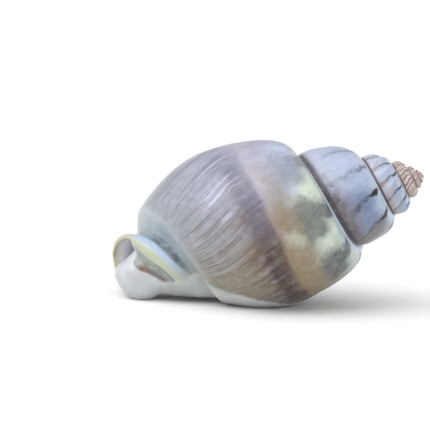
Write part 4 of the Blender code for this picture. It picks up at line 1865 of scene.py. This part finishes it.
@dataclass(frozen=True)
class Studio:
    """The pale floor, the soft lights and the camera."""

    floor_side: float = 12.0
    floor_colour: str = "f6f6f6"
    floor_roughness: float = 0.8
    around: float = math.radians(205.0)
    forward: float = math.radians(0.3)
    rise: float = math.radians(18.08)
    lens: float = 500.0
    left: float = 0.26
    right: float = 0.986
    middle_height: float = 0.48
    sensor: float = 36.0
    light_from: tuple[float, float, float] = (-0.5, -0.35, 0.8)
    dim: float = 0.5
    bright: float = 1.35
    brightens: Span = (0.1, 0.95)
    horizon: float = 1.05
    horizon_height: Span = (0.3, 0.1)
    lamp_strength: float = 1.0
    lamp_softness: float = math.radians(50.0)

    def floor(self) -> None:
        """Adds the floor."""
        bpy.ops.object.select_all(action="DESELECT")
        bpy.ops.mesh.primitive_plane_add(size=self.floor_side)
        floor = bpy.context.object
        floor.name = "floor"
        material, _, shader = Gloss(specular=0.1).surface("pale_floor")
        shader.inputs["Base Color"].default_value = linear(self.floor_colour)
        shader.inputs["Roughness"].default_value = self.floor_roughness
        floor.data.materials.append(material)

    def lights(self) -> None:
        """Adds pale surroundings that are brightest high up on the left, and a soft lamp there."""
        world = bpy.data.worlds.new("soft light")
        world.use_nodes = True
        wiring = Wiring(world.node_tree)
        background = world.node_tree.nodes["Background"]
        around = wiring.node("ShaderNodeTexCoord").outputs["Generated"]
        toward = wiring.node("ShaderNodeVectorMath", operation="DOT_PRODUCT")
        wiring.feed(toward.inputs[0], around)
        wiring.feed(toward.inputs[1], tuple(Vector(self.light_from).normalized()))
        share = wiring.step(toward.outputs["Value"], *self.brightens)
        strength = wiring.math("MULTIPLY_ADD", share, self.bright - self.dim, self.dim)
        split = wiring.node("ShaderNodeSeparateXYZ")
        wiring.feed(split.inputs[0], around)
        low = wiring.step(wiring.math("ABSOLUTE", split.outputs["Z"]), *self.horizon_height)
        background.inputs[0].default_value = (1.0, 1.0, 1.0, 1.0)
        strength = wiring.math("MAXIMUM", strength, wiring.math("MULTIPLY", low, self.horizon))
        wiring.feed(background.inputs[1], strength)
        bpy.context.scene.world = world

        bpy.ops.object.light_add(type="SUN", location=self.light_from)
        lamp = bpy.context.object
        lamp.name = "soft lamp"
        lamp.data.energy = self.lamp_strength
        lamp.data.angle = self.lamp_softness
        lamp.rotation_euler = (-Vector(self.light_from)).to_track_quat("-Z", "Y").to_euler()
        bpy.context.scene.view_settings.view_transform = "Standard"

    def camera(self, piece: bpy.types.Object, turn: Matrix) -> None:
        """Adds the camera, which sees the shell's axis rise to the right.

        Args:
            piece: The shell, whose width sets the distance.
            turn: The turn from shell coordinates to the world.
        """
        toward = turn @ direction(self.around, self.forward)
        axis = turn @ Vector((0.0, 0.0, 1.0))
        level = (axis - axis.dot(toward) * toward).normalized()
        right = math.cos(self.rise) * level - math.sin(self.rise) * toward.cross(level)
        up = toward.cross(right)
        points = np.array([vertex.co for vertex in piece.data.vertices])
        across, tall = points @ np.array(right), points @ np.array(up)
        width = np.ptp(across) / (self.right - self.left)
        centre_x = across.min() + width * (0.5 - self.left)
        centre_y = (tall.min() + tall.max()) / 2.0 + width * (0.5 - self.middle_height)
        distance = width * self.lens / self.sensor
        middle = float((points @ np.array(toward)).mean())
        place = right * centre_x + up * centre_y + toward * (middle + distance)
        facing = Matrix((right, up, toward)).transposed().to_euler()
        bpy.ops.object.camera_add(location=place, rotation=facing)
        camera = bpy.context.object
        camera.name = "view"
        camera.data.lens = self.lens
        camera.data.sensor_width = self.sensor
        camera.data.clip_start = 0.01
        bpy.context.scene.camera = camera


def main() -> None:
    """Builds the shell, dresses it and sets up the studio."""
    logging.basicConfig(level=logging.INFO, format="%(message)s")
    relief = Relief(Growth())
    grid = ShellGrid(Wall(relief))
    piece = ShellPiece(grid)
    effects = SharedEffects.build()
    outside = OutsideFinish(effects, piece.map_name, relief)
    shell = piece.build([outside.material(), LiningFinish(effects).material()])
    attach(shell, "root")
    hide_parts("shell")
    log.info("%s: %d points, %d faces", shell.name, len(shell.data.vertices), len(shell.data.polygons))

    studio = Studio()
    studio.floor()
    studio.lights()
    studio.camera(shell, piece.turn())
    log.info("studio ready")


if __name__ == "__main__":
    main()
